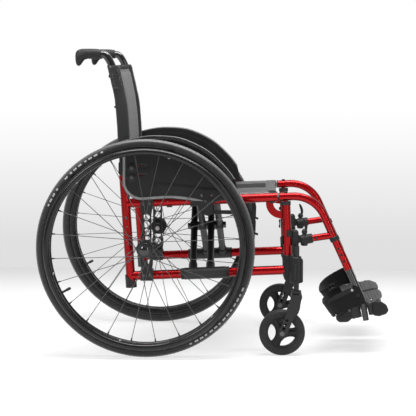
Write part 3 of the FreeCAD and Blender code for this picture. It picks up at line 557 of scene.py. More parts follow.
def side_plane(w, x=0.0, z=0.0):
    """Places plate points (x, z, height) on an upright plane facing outward."""
    return lambda P, h: np.stack([x + P[:, 0], w + h, z + P[:, 1]], 1)


# each seat rail moves with one half of the folding cross
BODY_OF = {"seat_rail_right": "cross_b", "seat_rail_left": "cross_a"}


class Part:
    """Gathers (x, w, z) geometry; mat is an index into the part's materials."""

    def __init__(self):
        self.verts, self.faces, self.mats = [], [], []

    def add(self, verts, faces, mat=0):
        base = len(self.verts)
        self.verts += [tuple(map(float, p)) for p in verts]
        self.faces += [tuple(i + base for i in face) for face in faces]
        self.mats += [mat] * len(faces)

    def rings(self, rings, mat=0, cap=True, loop=False):
        """Skins closed rings of equal count; loop joins the last to the first."""
        n, m = len(rings[0]), len(rings)
        verts = [p for ring in rings for p in ring]
        faces = []
        for i in range(m if loop else m - 1):
            j = (i + 1) % m
            for k in range(n):
                l = (k + 1) % n
                faces.append((i * n + k, i * n + l, j * n + l, j * n + k))
        if cap and not loop:
            for base in (0, (m - 1) * n):
                verts.append(tuple(np.mean([verts[base + k] for k in range(n)], axis=0)))
                tip = len(verts) - 1
                faces += [(base + k, base + (k + 1) % n, tip) for k in range(n)]
        self.add(verts, faces, mat)

    def sheet(self, rings):
        """Skins rings that run out along one face and back along the other."""
        first = len(self.verts)
        self.rings(rings, cap=False)
        n = len(rings[0])
        for base in (first, first + (len(rings) - 1) * n):
            self.faces += [(base + k, base + k + 1, base + n - 2 - k, base + n - 1 - k)
                           for k in range(n // 2 - 1)]
            self.mats += [0] * (n // 2 - 1)

    def tube(self, path, radius, n, mat=0, cap=True):
        path = np.asarray(path, float)
        radii = np.broadcast_to(np.asarray(radius, float), len(path))
        first = basis(path[1] - path[0])[0]
        rings = []
        for p, tangent, r in zip(path, np.gradient(path, axis=0), radii):
            tangent = unit(tangent)
            first = unit(first - tangent * first.dot(tangent))
            second = np.cross(tangent, first)
            rings.append([p + r * (cos(a) * first + sin(a) * second)
                          for a in np.arange(n) / n * 2 * pi])
        self.rings(rings, mat, cap)

    def lathe(self, centre, axis, profile, n, mat=0, radius_at=None, loop=False):
        """profile: (radius, height along the axis)."""
        first, second, along = basis(axis)
        centre = np.asarray(centre, float)
        rings = []
        for radius, height in profile:
            ring = []
            for a in turns(n):
                r = radius_at(radius, height, a) if radius_at else radius
                ring.append(centre + along * height + r * (cos(a) * first + sin(a) * second))
            rings.append(ring)
        self.rings(rings, mat, loop=loop)

    def wheel_ring(self, centre, profile, n, shape=None):
        """Turns a closed (radius, w) profile about the w axis; shape varies it by angle."""
        profile = np.asarray(profile, float)
        x, w, z = centre
        rings = []
        for a in turns(n):
            here = shape(profile, a) if shape else profile
            rings.append(np.stack([x + here[:, 0] * cos(a), w + here[:, 1],
                                   z + here[:, 0] * sin(a)], 1))
        self.rings(rings, loop=True)

    def screw(self, centre, axis, r, h, mat=0):
        """Button-head screw with a hex socket, standing h along the axis."""
        first, second, along = basis(axis)
        centre = np.asarray(centre, float)
        socket = r * 0.55

        def ring(radius, height, hexagon=False):
            out = []
            for a in turns(24):
                here = radius
                if hexagon:
                    here = radius * 0.88 / cos((a % (pi / 3)) - pi / 6)
                out.append(centre + along * height + here * (cos(a) * first + sin(a) * second))
            return out
        self.rings([ring(r * 0.96, -0.4), ring(r, 0.1 * h), ring(r, h * 0.45),
                    ring(r * 0.9, h * 0.78), ring(r * 0.74, h * 0.96), ring(socket * 1.12, h),
                    ring(socket, h * 0.97, True), ring(socket * 0.97, h * 0.35, True),
                    ring(socket * 0.5, h * 0.25)], mat)

    def box(self, centre, axes, half, radius, segments, mat=0):
        """Block rounded in the plane of its first two axes, chamfered along the third."""
        ex, ey, ez = map(unit, axes)
        centre = np.asarray(centre, float)
        outline = rectangle(half[0], half[1], radius, segments)
        chamfer = min(radius * 0.5, half[2] * 0.4)
        small = 1 - chamfer / max(half[:2])
        stations = ((-half[2], small), (-half[2] + chamfer, 1), (half[2] - chamfer, 1),
                    (half[2], small))
        self.rings([[centre + ez * h + ex * p[0] * k + ey * p[1] * k for p in outline]
                    for h, k in stations], mat)

    def plate(self, outline, place, thick, step, holes=(), top=None, bottom=None, bevel=0.8,
              mat=0):
        """Triangulated flat outline with holes. place(points, heights) gives (x, w, z);
        top and bottom give extra height."""
        outline = resample(outline, step * 0.7, closed=True)
        holes = [resample(hole, min(step * 0.6, 2.2), closed=True) for hole in holes]
        points, edges = [], []
        for line in (outline, *holes):
            base = len(points)
            points += list(map(tuple, line))
            edges += [(base + i, base + (i + 1) % len(line)) for i in range(len(line))]

        def boundary_distance(where):
            return np.minimum.reduce([line_distance(where, line) for line in (outline, *holes)])

        def solid(p):
            return inside(p, outline) and not any(inside(p, hole) for hole in holes)

        low, high = outline.min(0), outline.max(0)
        grid_x, grid_y = np.meshgrid(np.arange(low[0] + step / 2, high[0], step),
                                     np.arange(low[1] + step / 2, high[1], step))
        grid_x = grid_x + (np.arange(grid_x.shape[0]) % 2)[:, None] * step / 2
        grid = np.stack([grid_x.ravel(), grid_y.ravel()], 1)
        grid = grid[boundary_distance(grid) > step * 0.45]
        points += [tuple(p) for p in grid if solid(p)]
        found = delaunay_2d_cdt([Vector(p) for p in points], edges, [], 0, 1e-6)
        P = np.array([tuple(p) for p in found[0]])
        tris = [tuple(t) for t in found[2] if solid(P[list(t)].mean(0))]
        used = sorted(set(i for t in tris for i in t))
        index = {old: new for new, old in enumerate(used)}
        P = P[used]
        tris = [tuple(index[i] for i in t) for t in tris]
        distance = boundary_distance(P)
        drop = np.where(distance < 1e-3, bevel, 0.0)
        inner = distance > 1e-3
        upper = thick - drop + (top(P) if top else 0.0) * inner
        lower = drop + (bottom(P) if bottom else 0.0) * inner
        n = len(P)
        directed = {pair: 1 for a, b, c in tris for pair in ((a, b), (b, c), (c, a))}
        faces = tris + [tuple(i + n for i in reversed(t)) for t in tris]
        faces += [(b, a, a + n, b + n) for a, b in directed if (b, a) not in directed]
        self.add(np.vstack([place(P, upper), place(P, lower)]), faces, mat)

    def stitch(self, path, normal, radius=0.42, pitch=3.4, length=2.2, mat=1):
        """Thread stitches along a path, lying on a surface with the given normal."""
        path = resample(path, pitch)
        up = unit(normal)
        for p, t in zip(path, np.gradient(path, axis=0)):
            t = unit(t)
            a, b = p - t * length / 2, p + t * length / 2
            self.tube([a - up * 0.3, a + t * 0.35 + up * 0.15, p + up * 0.28,
                       b - t * 0.35 + up * 0.15, b - up * 0.3],
                      [radius * 0.7, radius, radius, radius, radius * 0.7], 5, mat)

    def make(self, name, side, materials, body, smooth, replaces=None):
        """Makes the object. side is added to the names; it is "" for a centre piece."""
        tail = "_" + side if side else ""
        mesh = bpy.data.meshes.new(name + tail)
        mesh.from_pydata(to_frame(self.verts, SIGN.get(side, 1)).tolist(), [], self.faces)
        for key in materials.split():
            mesh.materials.append(MATERIALS[key])
        mesh.polygons.foreach_set("material_index", self.mats)
        bm = bmesh.new()
        bm.from_mesh(mesh)
        bmesh.ops.remove_doubles(bm, verts=bm.verts, dist=2e-6)
        bmesh.ops.dissolve_degenerate(bm, edges=bm.edges, dist=1e-7)
        bmesh.ops.recalc_face_normals(bm, faces=bm.faces)
        bm.to_mesh(mesh)
        bm.free()
        obj = bpy.data.objects.new(name + tail, mesh)
        bpy.context.scene.collection.objects.link(obj)
        mesh.polygons.foreach_set("use_smooth", [True] * len(mesh.polygons))
        mesh.set_sharp_from_angle(angle=radians(smooth))
        if body:
            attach(obj, BODY_OF.get(body + tail, body + tail))
        if replaces:
            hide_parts(replaces + tail)
        return obj


# ------------------------------------------------------------------ rear wheels
TYRE_CORE, TYRE_RADIUS = 282.5, 12.5
TYRE_DEGREES = np.linspace(-147, 147, 43)      # round the section, 0 at the running line
TREAD_EDGE = 47                                # degrees
SPOKES = 24
SPOKE_RIM_RADIUS = 255.2
# half of the rim section, (radius, w), from the inner edge outward
RIM_HALF = [(254.0, 3.2), (255.2, 5.4), (257.6, 7.5), (260.6, 9.0), (263.6, 9.75),
            (264.2, 9.55), (264.8, 9.8), (270.9, 9.95), (271.8, 9.6), (272.0, 8.9),
            (271.4, 8.2), (269.6, 7.7), (268.0, 6.0), (266.8, 2.5)]
RIM_MIRROR = [(r, -w) for r, w in RIM_HALF]
RIM = [RIM_MIRROR[0], (253.7, 0.0)] + RIM_HALF + RIM_MIRROR[:0:-1]
# valve, (radius, height toward the axle)
VALVE = [(4.6, -0.5), (4.6, 1.8), (3.1, 2.2), (3.1, 14), (2.9, 14.2), (3.7, 14.6), (3.9, 16),
         (3.9, 24), (3.3, 26.5), (1.6, 27.3)]
# hub shell, (radius, w from the wheel plane)
HUB = [(8.2, -17.0), (13.2, -17.0), (14.0, -16.4), (14.0, -15.8), (22.6, -15.5),
       (23.4, -14.9), (23.4, -12.2), (22.6, -11.6), (15.5, -11.0), (13.4, -9.0), (12.4, -3),
       (12.2, 3.0), (13.2, 7.6), (15.5, 9.2), (22.6, 9.6), (23.4, 10.2), (23.4, 13.0),
       (22.6, 13.5), (18.4, 13.8), (18.0, 14.6), (18.0, 18.4), (17.2, 19.4), (11.5, 19.6),
       (11.3, 18.6), (8.2, 18.6)]
# handrim bracket stations: radius, w, half width
HANDRIM_BRACKET = [(256.5, 289.6, 9.0), (257.2, 291.6, 8.6), (258.6, 295.0, 7.0),
                   (259.6, 299.0, 6.4), (260.2, 303.0, 7.2), (260.8, 306.5, 7.6)]
# pale dashes on the tyre wall: start and end, degrees round the wheel
DASH_ARCS = {"right": ((113, 140), (145, 158), (-65, -20)), "left": ((22, 67), (200, 245))}


def wheel_point(radius, w, angle):
    return np.array((radius * cos(angle), w, AXLE_Z + radius * sin(angle)))


def tyre_profile():
    points = []
    for deg in TYRE_DEGREES:
        off = abs(deg)
        radius = TYRE_RADIUS
        for ridge in (57.0, 64.0, 118.0):
            radius += 0.28 * exp(-((off - ridge) / 2.4) ** 2)
        if off > 48:
            radius -= 0.32
        points.append((TYRE_CORE + radius * cos(radians(deg)), radius * sin(radians(deg))))
    return points + [(272.1, 6.2), (272.1, -6.2)]


def cut_tread(profile, angle):
    """Slanted blocks either side of two fine grooves round the tyre."""
    profile = profile.copy()
    for j, deg in enumerate(TYRE_DEGREES):
        off = abs(deg)
        if off < TREAD_EDGE:
            phase = (angle * 180 / (2 * pi) + off / TREAD_EDGE * 0.9
                     + (0.5 if deg > 0 else 0.0)) % 1.0
            depth = 0.55 if phase < 0.26 else 0.0
            if 4.0 < off < 9.0:
                depth = 0.45
            profile[j, 0] -= depth * cos(radians(deg))
            profile[j, 1] -= depth * sin(radians(deg))
    return profile


def is_outer(spoke):
    return spoke % 2 == 0


def spoke_ends(spoke):
    """Hub end and rim end."""
    rim_angle = radians(6.2 + 360 / SPOKES * spoke)
    turn = 1 if (spoke // 2) % 2 == 0 else -1
    hub_w, rim_w = (291.5, WHEEL_W + 1.2) if is_outer(spoke) else (266.5, WHEEL_W - 1.2)
    return (wheel_point(21.5, hub_w + turn * 1.7, rim_angle + turn * radians(58)),
            wheel_point(SPOKE_RIM_RADIUS, rim_w + turn * 1.05, rim_angle))


def spoke_axis(spoke):
    return (0, 1 if is_outer(spoke) else -1, 0)


def make_tyre(side):
    part = Part()
    part.wheel_ring(WHEEL_CENTRE, tyre_profile(), 720, cut_tread)
    part.make("tyre", side, "tyre", "wheel", 55, "wheel_tyre")


def make_rim(side):
    part = Part()
    part.wheel_ring(WHEEL_CENTRE, RIM, 240)
    for spoke in range(SPOKES):
        hub_end, rim_end = spoke_ends(spoke)
        along = unit(rim_end - hub_end)
        # nipple, then the elbow head at the hub
        part.tube([rim_end + along * d for d in (-9.5, -8.6, -4.0, -2.5, 0.6)],
                  [1.5, 1.9, 1.9, 2.5, 3.1], 10, 1)
        part.lathe(hub_end, spoke_axis(spoke),
                   [(0.9, -2.6), (1.9, -2.2), (1.9, -1.6), (1.0, -1.2)], 10, 2)
    valve_angle = radians(208)

    def knurl(radius, height, angle):
        return radius - (0.22 if 14.5 < height < 25 and sin(angle * 10) > 0 else 0)
    part.lathe(wheel_point(256, WHEEL_W, valve_angle),
               (-cos(valve_angle), 0, -sin(valve_angle)), VALVE, 20, 3, knurl)
    part.make("rim", side, "rim nipple dark_steel black_metal", "wheel", 32,
              "wheel_rim")


def make_handrim(side):
    part = Part()
    part.wheel_ring(WHEEL_CENTRE, [(263 + 8.5 * cos(a), 32.5 + 8.5 * sin(a))
                                   for a in np.linspace(0, 2 * pi, 29)[:-1]], 288)
    for i in range(6):
        angle = radians(15 + 60 * i)
        radial = np.array((cos(angle), 0, sin(angle)))
        tangent = np.array((-sin(angle), 0, cos(angle)))
        rings = []
        for j, (radius, w, half_width) in enumerate(HANDRIM_BRACKET):
            if j > 1:
                normal = unit(np.array((0, -0.35, 0)) + radial * 0.9)
            else:
                normal = unit(radial * 0.5 + np.array((0, -0.9, 0)))
            rings.append([wheel_point(radius, w, angle) + tangent * u + normal * v
                          for u, v in rectangle(half_width, 1.3, 1.0, 3)])
        part.rings(rings, 1)
        part.screw(wheel_point(254.6, 305.5, angle), -radial, 3.6, 2.0, 2)
        part.screw(wheel_point(257.0, 291.2, angle), OUTWARD, 3.2, 1.8, 2)
    part.make("handrim_loop", side, "handrim black_metal steel", "wheel", 35,
              "handrim")


def make_hub(side):
    part = Part()
    part.wheel_ring(WHEEL_CENTRE, HUB, 96)
    for spoke in range(SPOKES):
        x, _, z = spoke_ends(spoke)[0]
        part.lathe((x, 293.55 if is_outer(spoke) else 264.2, z), spoke_axis(spoke),
                   [(1.9, -0.2), (1.9, 0.35), (1.2, 0.8)], 10, 1)
    part.make("hub_shell", side, "hub nipple", "wheel", 30, "wheel_hub")


def make_tyre_dashes(side):
    part = Part()
    # thin patch on the wall: degrees round the tyre section, radius of the section
    patch = ((74, 12.26), (84, 12.26), (94, 12.26), (94, 12.0), (84, 12.0), (74, 12.0))
    for start, end in DASH_ARCS[side]:
        count = max(1, int((end - start) / 3.1))
        for i in range(count):
            first = start + (end - start) * i / count
            last = first + (end - start) / count * (0.62 if i % 3 else 0.4)
            part.rings([[wheel_point(TYRE_CORE + h * cos(radians(deg)),
                                     WHEEL_W + h * sin(radians(deg)), angle)
                         for deg, h in patch]
                        for angle in np.radians(np.linspace(first, last, 5))])
    part.make("tyre_dashes", side, "pale_mark", "wheel", 30)


# ------------------------------------------------------------------ casters
# halves of the caster sections, (radius, w from the caster plane)
CASTER_TREAD = [(47.0, 13.0), (48.4, 13.8), (50.4, 13.5), (51.4, 13.95), (53.0, 13.6),
                (56.0, 13.7), (58.8, 12.8), (61.0, 10.6), (62.1, 7.6), (62.45, 3.4), (62.3, 0.9)]
CASTER_RIM = [(38.0, 7.6), (38.7, 9.4), (40.6, 10.0), (43.0, 11.9), (46.9, 12.0)]
CASTER_BOSS = [(4.1, 14.9), (9.4, 14.9), (10.4, 14.2), (11.0, 11.5), (13.6, 9.5)]


def mirrored(half):
    """Closes a half section: inner side first, then the outer side backwards."""
    return [(r, -w) for r, w in half] + half[::-1]


def caster_windows():
    """Three lens-shaped openings, each between two arcs."""
    windows = []
    for k in range(3):
        angle = radians(60 + 120 * k)
        centre_x, centre_z = 47.0 * cos(angle), 47.0 * sin(angle)
        points = [(38.2 * cos(angle + q), 38.2 * sin(angle + q))
                  for q in np.linspace(-0.66, 0.66, 26)]
        points += [(centre_x - 29.6 * cos(angle + q), centre_z - 29.6 * sin(angle + q))
                   for q in np.linspace(0.905, -0.905, 26)[1:-1]]
        points = np.array(points)
        windows.append(points[np.argsort(np.arctan2(*(points - points.mean(0)).T[::-1]))])
    return windows


def make_caster_tread(side):
    part = Part()
    tread = [CASTER_TREAD[0]] + CASTER_TREAD[1:]
    part.wheel_ring(CASTER_CENTRE, [(47.0, -13.0)] + tread
                    + [(r, -w) for r, w in CASTER_TREAD[:0:-1]], 144)
    part.make("caster_tread", side, "caster_rubber", "caster_wheel", 30,
              "caster_tyre")


def make_caster_core(side):
    part = Part()
    part.wheel_ring(CASTER_CENTRE, mirrored(CASTER_RIM), 120)
    part.wheel_ring(CASTER_CENTRE, mirrored(CASTER_BOSS), 48)
    windows = caster_windows()
    disc = np.array([(40.0 * cos(a), 40.0 * sin(a))
                     for a in np.linspace(0, 2 * pi, 140, endpoint=False)])

    def relief(P):
        """Three spoke ribs and a lip round each window."""
        off_spoke = np.full(len(P), 99.0)
        for k in range(3):
            a = radians(120 * k)
            along = P[:, 0] * cos(a) + P[:, 1] * sin(a)
            across = np.abs(-P[:, 0] * sin(a) + P[:, 1] * cos(a))
            off_spoke = np.where(along > 0, np.minimum(off_spoke, across - 0.055 * (along - 20)),
                                 off_spoke)
        rib = 2.9 * np.clip((5.6 - off_spoke) / 1.9, 0, 1)
        edge = np.minimum.reduce([line_distance(P, window) for window in windows])
        lip = 0.9 * np.clip((2.4 - edge) / 1.0, 0, 1)
        return np.maximum(rib, lip) * (np.hypot(P[:, 0], P[:, 1]) < 39.0)
    x, w, z = CASTER_CENTRE
    part.plate(disc, side_plane(w - 6.0, x, z), 12.0, detail(1.9, 3.0), windows, top=relief,
               bottom=lambda P: -relief(P), bevel=0.9)
    for sign in (-1, 1):
        part.lathe((x, w + sign * 14.6, z), (0, sign, 0),
                   [(9.0, -0.6), (9.0, 0.25), (8.4, 0.45), (7.2, 0.1), (6.4, 0.1), (6.2, 0.5),
                    (4.2, 0.5)], 32, 1)
    part.make("caster_core", side, "plastic dark_steel", "caster_wheel", 35,
              "caster_hub")


for side in SIDES:
    make_tyre(side)
    make_rim(side)
    make_handrim(side)
    make_hub(side)
    make_tyre_dashes(side)
    make_caster_tread(side)
    make_caster_core(side)

# ------------------------------------------------------------------ side guards
# (x, z) over the wheel
GUARD_ARC = spline([(-65, 581.6), (-60, 583), (-20, 592.5), (16, 597), (60, 596), (97, 590),
                    (140, 572.5), (177, 549.5), (217, 511), (240, 481)], 110)
# lower edge from front to back: x, z, corner radius
GUARD_LOWER = [(256, 444, 18), (251, 429, 8), (238, 424, 12), (200, 419.5, 40),
               (176, 413, 20), (153, 414.8, 30), (118, 420.5, 40), (58, 425.0, 60),
               (0, 420.6, 30), (-20, 420.6, 25), (-36, 425.2, 18), (-49, 434, 16),
               (-60, 449, 18), (-65, 468, 30), (-65, 520, 0)]
GUARD_OUTLINE = np.vstack([GUARD_ARC, round_corners([row[:2] for row in GUARD_LOWER],
                                                    [row[2] for row in GUARD_LOWER], 5)])
GUARD_BEAD = spline([(-60.4, 578), (-60.4, 520), (-60.4, 468), (-56, 451), (-45.6, 438),
                     (-33, 429.7), (-19, 425.6), (0, 425.8), (58, 430.2), (100, 427.6),
                     (130, 423.6), (153, 420.2)], 90)
GUARD_GROOVE = spline([(16.5, 590), (16.5, 560), (16.5, 500), (16.8, 474), (19.5, 467.6),
                       (28, 465.2)], 40)
GUARD_LEDGE = spline([(28, 465.2), (80, 461), (120, 456.5), (165, 451.5), (200, 449)], 40)
GUARD_RECESS = np.vstack([GUARD_GROOVE, GUARD_LEDGE, [(262, 452), (262, 620), (16.5, 620)]])
GUARD_BOSSES = ((-40, 509), (-40, 483))
# section of the lip over the tyre: w, offset along the arc's normal
GUARD_LIP = [(223.8, -18), (223.9, -13.5), (224.6, -9.4), (226.2, -5.6), (228.8, -2.6),
             (232.4, -0.6), (236.5, 0.0), (241, -0.7), (248, -1.2), (254, -0.9), (257, 0.1),
             (259.4, 1.0), (262.0, 0.8), (263.4, -0.9), (263.6, -3.4), (262.4, -5.4),
             (260.2, -5.6), (259.4, -4.2), (259.0, -2.6), (254, -3.4), (246, -3.7),
             (238, -3.3), (233.6, -3.9), (230.2, -6.2), (228.2, -9.8), (227.5, -14),
             (227.4, -18)]


def guard_relief(P):
    """Recessed front field, its groove, and two screw bosses."""
    in_recess = np.array([inside(p, GUARD_RECESS) for p in P])
    depth = line_distance(P, GUARD_RECESS)
    ease = np.clip(np.where(in_recess, depth, -depth) / 3.2, 0, 1)
    groove = -1.4 * np.exp(-(line_distance(P, GUARD_GROOVE, False) / 2.3) ** 2)
    bosses = np.zeros(len(P))
    for x, z in GUARD_BOSSES:
        bosses += 1.3 * np.clip((11.5 - np.hypot(P[:, 0] - x, P[:, 1] - z)) / 2.0, 0, 1)
    return -2.0 * ease ** 2 * (3 - 2 * ease) + groove + bosses


def slot_hole(x0, x1, z0, z1):
    return round_corners([(x0, z0), (x1, z0), (x1, z1), (x0, z1)], (z1 - z0) * 0.48, 5)


def round_hole(x, z, radius, n):
    return np.array([(x + radius * cos(a), z + radius * sin(a))
                     for a in np.linspace(0, 2 * pi, n + 1)[:-1]])


GUARD_HOLES = [slot_hole(-22, 2, 512, 516.5), slot_hole(-22, 2, 486, 490.5),
               slot_hole(-56.5, -49.5, 475, 479), round_hole(176, 433, 3.4, 20)]
GUARD_HOLES += [round_hole(x, z, 2.9, 12) for x, z in GUARD_BOSSES]


def make_mudguard(side):
    part = Part()
    part.plate(GUARD_OUTLINE, side_plane(224.0), 3.5, detail(3.0, 6.0), GUARD_HOLES,
               top=guard_relief, bevel=0.7)
    radii = np.full(len(GUARD_BEAD), 3.7)
    radii[-8:] = np.linspace(3.6, 1.2, 8)
    # the bead wears the pale painted-highlight finish
    part.tube([(x, 227.6, z) for x, z in GUARD_BEAD], radii, 14, 1)
    tangents = [unit(t) for t in np.gradient(GUARD_ARC, axis=0)]
    normals = [np.array((-t[1], t[0])) for t in tangents]
    part.rings([[(p[0] + n[0] * off, w, p[1] + n[1] * off) for w, off in GUARD_LIP]
                for p, n in zip(GUARD_ARC, normals)], 2)
    # stiffening ribs moulded under the lip
    for i in range(8, 104, 12):
        t, n = tangents[i], normals[i]
        x, z = GUARD_ARC[i] + n * -5.2
        part.box((x, 240.0, z), (OUTWARD, (n[0], 0, n[1]), (t[0], 0, t[1])),
                 (13.5, 1.9, 0.9), 0.8, 2)
    part.make("mudguard_panel", side, "guard guard_bead guard_lip", "frame", 42,
              "side_guard")


def make_guard_screws(side):
    part = Part()
    for x, z in GUARD_BOSSES:
        part.lathe((x, 228.6, z), OUTWARD,
                   [(3.2, 0), (8.6, 0), (9.0, 0.5), (8.6, 1.1), (6.0, 1.2)], 28)
        part.screw((x, 229.7, z), OUTWARD, 5.2, 3.0, 1)
    part.screw((150.5, 228.4, 434), OUTWARD, 4.4, 2.2, 1)
    part.screw((161, 228.0, 419.5), OUTWARD, 3.8, 2.0, 1)
    part.screw((14, 227.8, 439), OUTWARD, 2.6, 1.4, 0)
    part.make("guard_screws", side, "black_metal dark_steel", "frame", 30)


for side in SIDES:
    make_mudguard(side)
    make_guard_screws(side)

# ------------------------------------------------------------------ push grips
# x from back to front, top z, bottom z
GRIP_X, GRIP_TOP, GRIP_BOTTOM = np.array([
    (-193.5, 812.5, 803.0), (-193.2, 816.5, 797.0), (-192.4, 820.0, 791.5),
    (-191, 822.8, 787.4), (-189, 825.0, 784.9), (-186.5, 826.9, 783.8), (-184, 828.0, 783.7),
    (-181, 829.0, 785.0), (-178, 829.6, 788.0), (-175, 829.9, 792.6), (-172, 830.1, 797.0),
    (-169, 830.2, 800.0), (-165, 830.3, 802.0), (-160, 830.4, 802.9), (-155, 830.4, 803.0),
    (-148, 830.3, 802.4), (-140, 830.0, 801.6), (-133, 829.4, 802.2), (-128.5, 828.8, 803.0),
    (-126, 828.2, 803.4), (-124.9, 827.4, 804.2), (-124.4, 825.8, 805.8)]).T


def grip_ring(x):
    top, bottom = np.interp(x, GRIP_X, GRIP_TOP), np.interp(x, GRIP_X, GRIP_BOTTOM)
    taper = np.interp(x, [-193.5, -193.0, -191, -186, -127, -124.9, -124.4],
                      [0.45, 0.66, 0.86, 1, 1, 0.97, 0.86])
    ring = []
    for angle in turns(40):
        up = sin(angle)
        z = (top + bottom) / 2 + (top - bottom) / 2 * blunt(up, 0.9)
        half_width = np.interp(z, [783, 792, 802, 812, 822, 830],
                               [8.2, 10.5, 13.0, 13.5, 13.3, 12.6]) * taper
        w = half_width * blunt(cos(angle), 0.82)
        if -187 < x < -131 and up > 0.1:          # ribs over the top
            rib = (0.95 * (abs(sin(pi * (x + 131) / 6.2)) ** 0.7 - 0.8)
                   * min(1, (up - 0.1) * 2.2))
            z += rib
            w *= 1 + rib * 0.012
        if -168 < x < -134 and up < -0.25:        # soft waves underneath
            z -= 0.55 * sin(pi * (x + 134) / 8.5) ** 2 * min(1, (-up - 0.25) * 2)
        ring.append((x, 196.0 + w, min(z, 830.45)))
    return ring


def make_grip(side):
    part = Part()
    stations = np.r_[GRIP_X[:3], np.linspace(-191.5, -125.5, 96), GRIP_X[-2:]]
    part.rings([grip_ring(x) for x in stations])
    part.lathe((-124.6, 196, 815.0), FORWARD, [(10.6, -1.0), (12.3, -0.8), (12.8, 0.2),
                                               (12.5, 1.2), (11.4, 1.5), (10.5, 1.2)], 36, 1)
    part.make("ribbed_grip", side, "grip plastic", "frame", 60, "push_grip")


for side in SIDES:
    make_grip(side)


# ------------------------------------------------------------------ padded cloth
def slab(nu, nv, place):
    """Closed slab; place(u, v, face) gives points on face 0 and face 1."""
    verts = [place(i / nu, j / nv, face)
             for face in (0, 1) for i in range(nu + 1) for j in range(nv + 1)]
    faces = []

    def at(i, j, face):
        return (face * (nu + 1) + i) * (nv + 1) + j
    for i in range(nu):
        for j in range(nv):
            faces.append((at(i, j, 0), at(i + 1, j, 0), at(i + 1, j + 1, 0), at(i, j + 1, 0)))
            faces.append((at(i, j, 1), at(i, j + 1, 1), at(i + 1, j + 1, 1), at(i + 1, j, 1)))
    for i in range(nu):
        faces.append((at(i, 0, 0), at(i, 0, 1), at(i + 1, 0, 1), at(i + 1, 0, 0)))
        faces.append((at(i, nv, 0), at(i + 1, nv, 0), at(i + 1, nv, 1), at(i, nv, 1)))
    for j in range(nv):
        faces.append((at(0, j, 0), at(0, j + 1, 0), at(0, j + 1, 1), at(0, j, 1)))
        faces.append((at(nu, j, 0), at(nu, j, 1), at(nu, j + 1, 1), at(nu, j + 1, 0)))
    return verts, faces


def evaluated_mesh(obj):
    depsgraph = bpy.context.evaluated_depsgraph_get()
    return bpy.data.meshes.new_from_object(obj.evaluated_get(depsgraph))


def coordinates(mesh):
    return np.array([v.co for v in mesh.vertices], float)


def apply_modifiers(obj):
    mesh = evaluated_mesh(obj)
    obj.modifiers.clear()
    obj.data = mesh


def inflate(obj, pressure, limit, pin_beyond):
    """Blows the pad up as cloth pinned beyond a width; no vertex moves further than limit."""
    rest = coordinates(obj.data)
    pins = obj.vertex_groups.new(name="pin")
    for i, p in enumerate(rest):
        if abs(p[1] * 1000) > pin_beyond:
            pins.add([i], 1.0, "REPLACE")
    cloth = obj.modifiers.new("cloth", "CLOTH").settings
    cloth.quality = 6
    cloth.mass = 0.3
    cloth.use_pressure = True
    cloth.uniform_pressure_force = pressure
    cloth.tension_stiffness = cloth.compression_stiffness = 15.0
    cloth.shear_stiffness = 15.0 * 0.6
    cloth.bending_stiffness = 0.6
    cloth.effector_weights.gravity = 0.0
    cloth.vertex_group_mass = "pin"
    scene = bpy.context.scene
    for step in range(1, 18 + 1):
        scene.frame_set(step)
    apply_modifiers(obj)
    shift = coordinates(obj.data) - rest
    length = np.linalg.norm(shift, axis=1)
    keep = np.where(length > limit / 1000, limit / 1000 / np.maximum(length, 1e-9), 1.0)
    moved = rest + shift * keep[:, None]
    obj.data.vertices.foreach_set("co", moved.astype(np.float32).ravel())
    scene.frame_set(1)
    obj.vertex_groups.clear()


def make_pad(name, shape, material, voxel, reshape, **inflation):
    """Remeshed, inflated, smoothed and subdivided pad; reshape then moves its points."""
    verts, faces = shape
    mesh = bpy.data.meshes.new(name)
    mesh.from_pydata(to_frame(verts).tolist(), [], faces)
    bm = bmesh.new()
    bm.from_mesh(mesh)
    bmesh.ops.recalc_face_normals(bm, faces=bm.faces)
    bm.to_mesh(mesh)
    bm.free()
    obj = bpy.data.objects.new(name, mesh)
    bpy.context.scene.collection.objects.link(obj)
    remesh = obj.modifiers.new("remesh", "REMESH")
    remesh.mode = "VOXEL"
    remesh.voxel_size = detail(voxel, voxel * 1.8) / 1000
    apply_modifiers(obj)
    inflate(obj, **inflation)
    bm = bmesh.new()
    bm.from_mesh(obj.data)
    for _ in range(4):
        bmesh.ops.smooth_vert(bm, verts=bm.verts, factor=0.5, use_axis_x=True,
                              use_axis_y=True, use_axis_z=True)
    bm.to_mesh(obj.data)
    bm.free()
    obj.data.polygons.foreach_set("use_smooth", [True] * len(obj.data.polygons))
    obj.data.materials.append(material)
    subdivision = obj.modifiers.new("sub", "SUBSURF")
    subdivision.levels = subdivision.render_levels = 1
    apply_modifiers(obj)
    mesh = obj.data
    mesh.polygons.foreach_set("use_smooth", [True] * len(mesh.polygons))
    co = coordinates(mesh) * 1000
    moved = to_frame(reshape(np.stack([co[:, 0] + ORIGIN_X, co[:, 1], co[:, 2]], 1)))
    mesh.vertices.foreach_set("co", moved.astype(np.float32).ravel())
    mesh.update()
    return obj


# ------------------------------------------------------------------ back
# centre line of the back cane: x, z, w
CANE = spline([(-63.1, 488, 210), (-64.8, 530, 210), (-65.2, 590, 208.5), (-71.3, 673, 203),
               (-79.6, 722, 199.5), (-93.6, 782, 197), (-104.0, 803, 196.2)], 160)
PANEL_HALF = 183.0
PANEL_BOTTOM, PANEL_TOP = 541, 778
QUILT_LINES = (600, 660, 720)


def cane(z):
    """x and w of the cane."""
    return np.array((np.interp(z, CANE[:, 1], CANE[:, 0]), np.interp(z, CANE[:, 1], CANE[:, 2])))


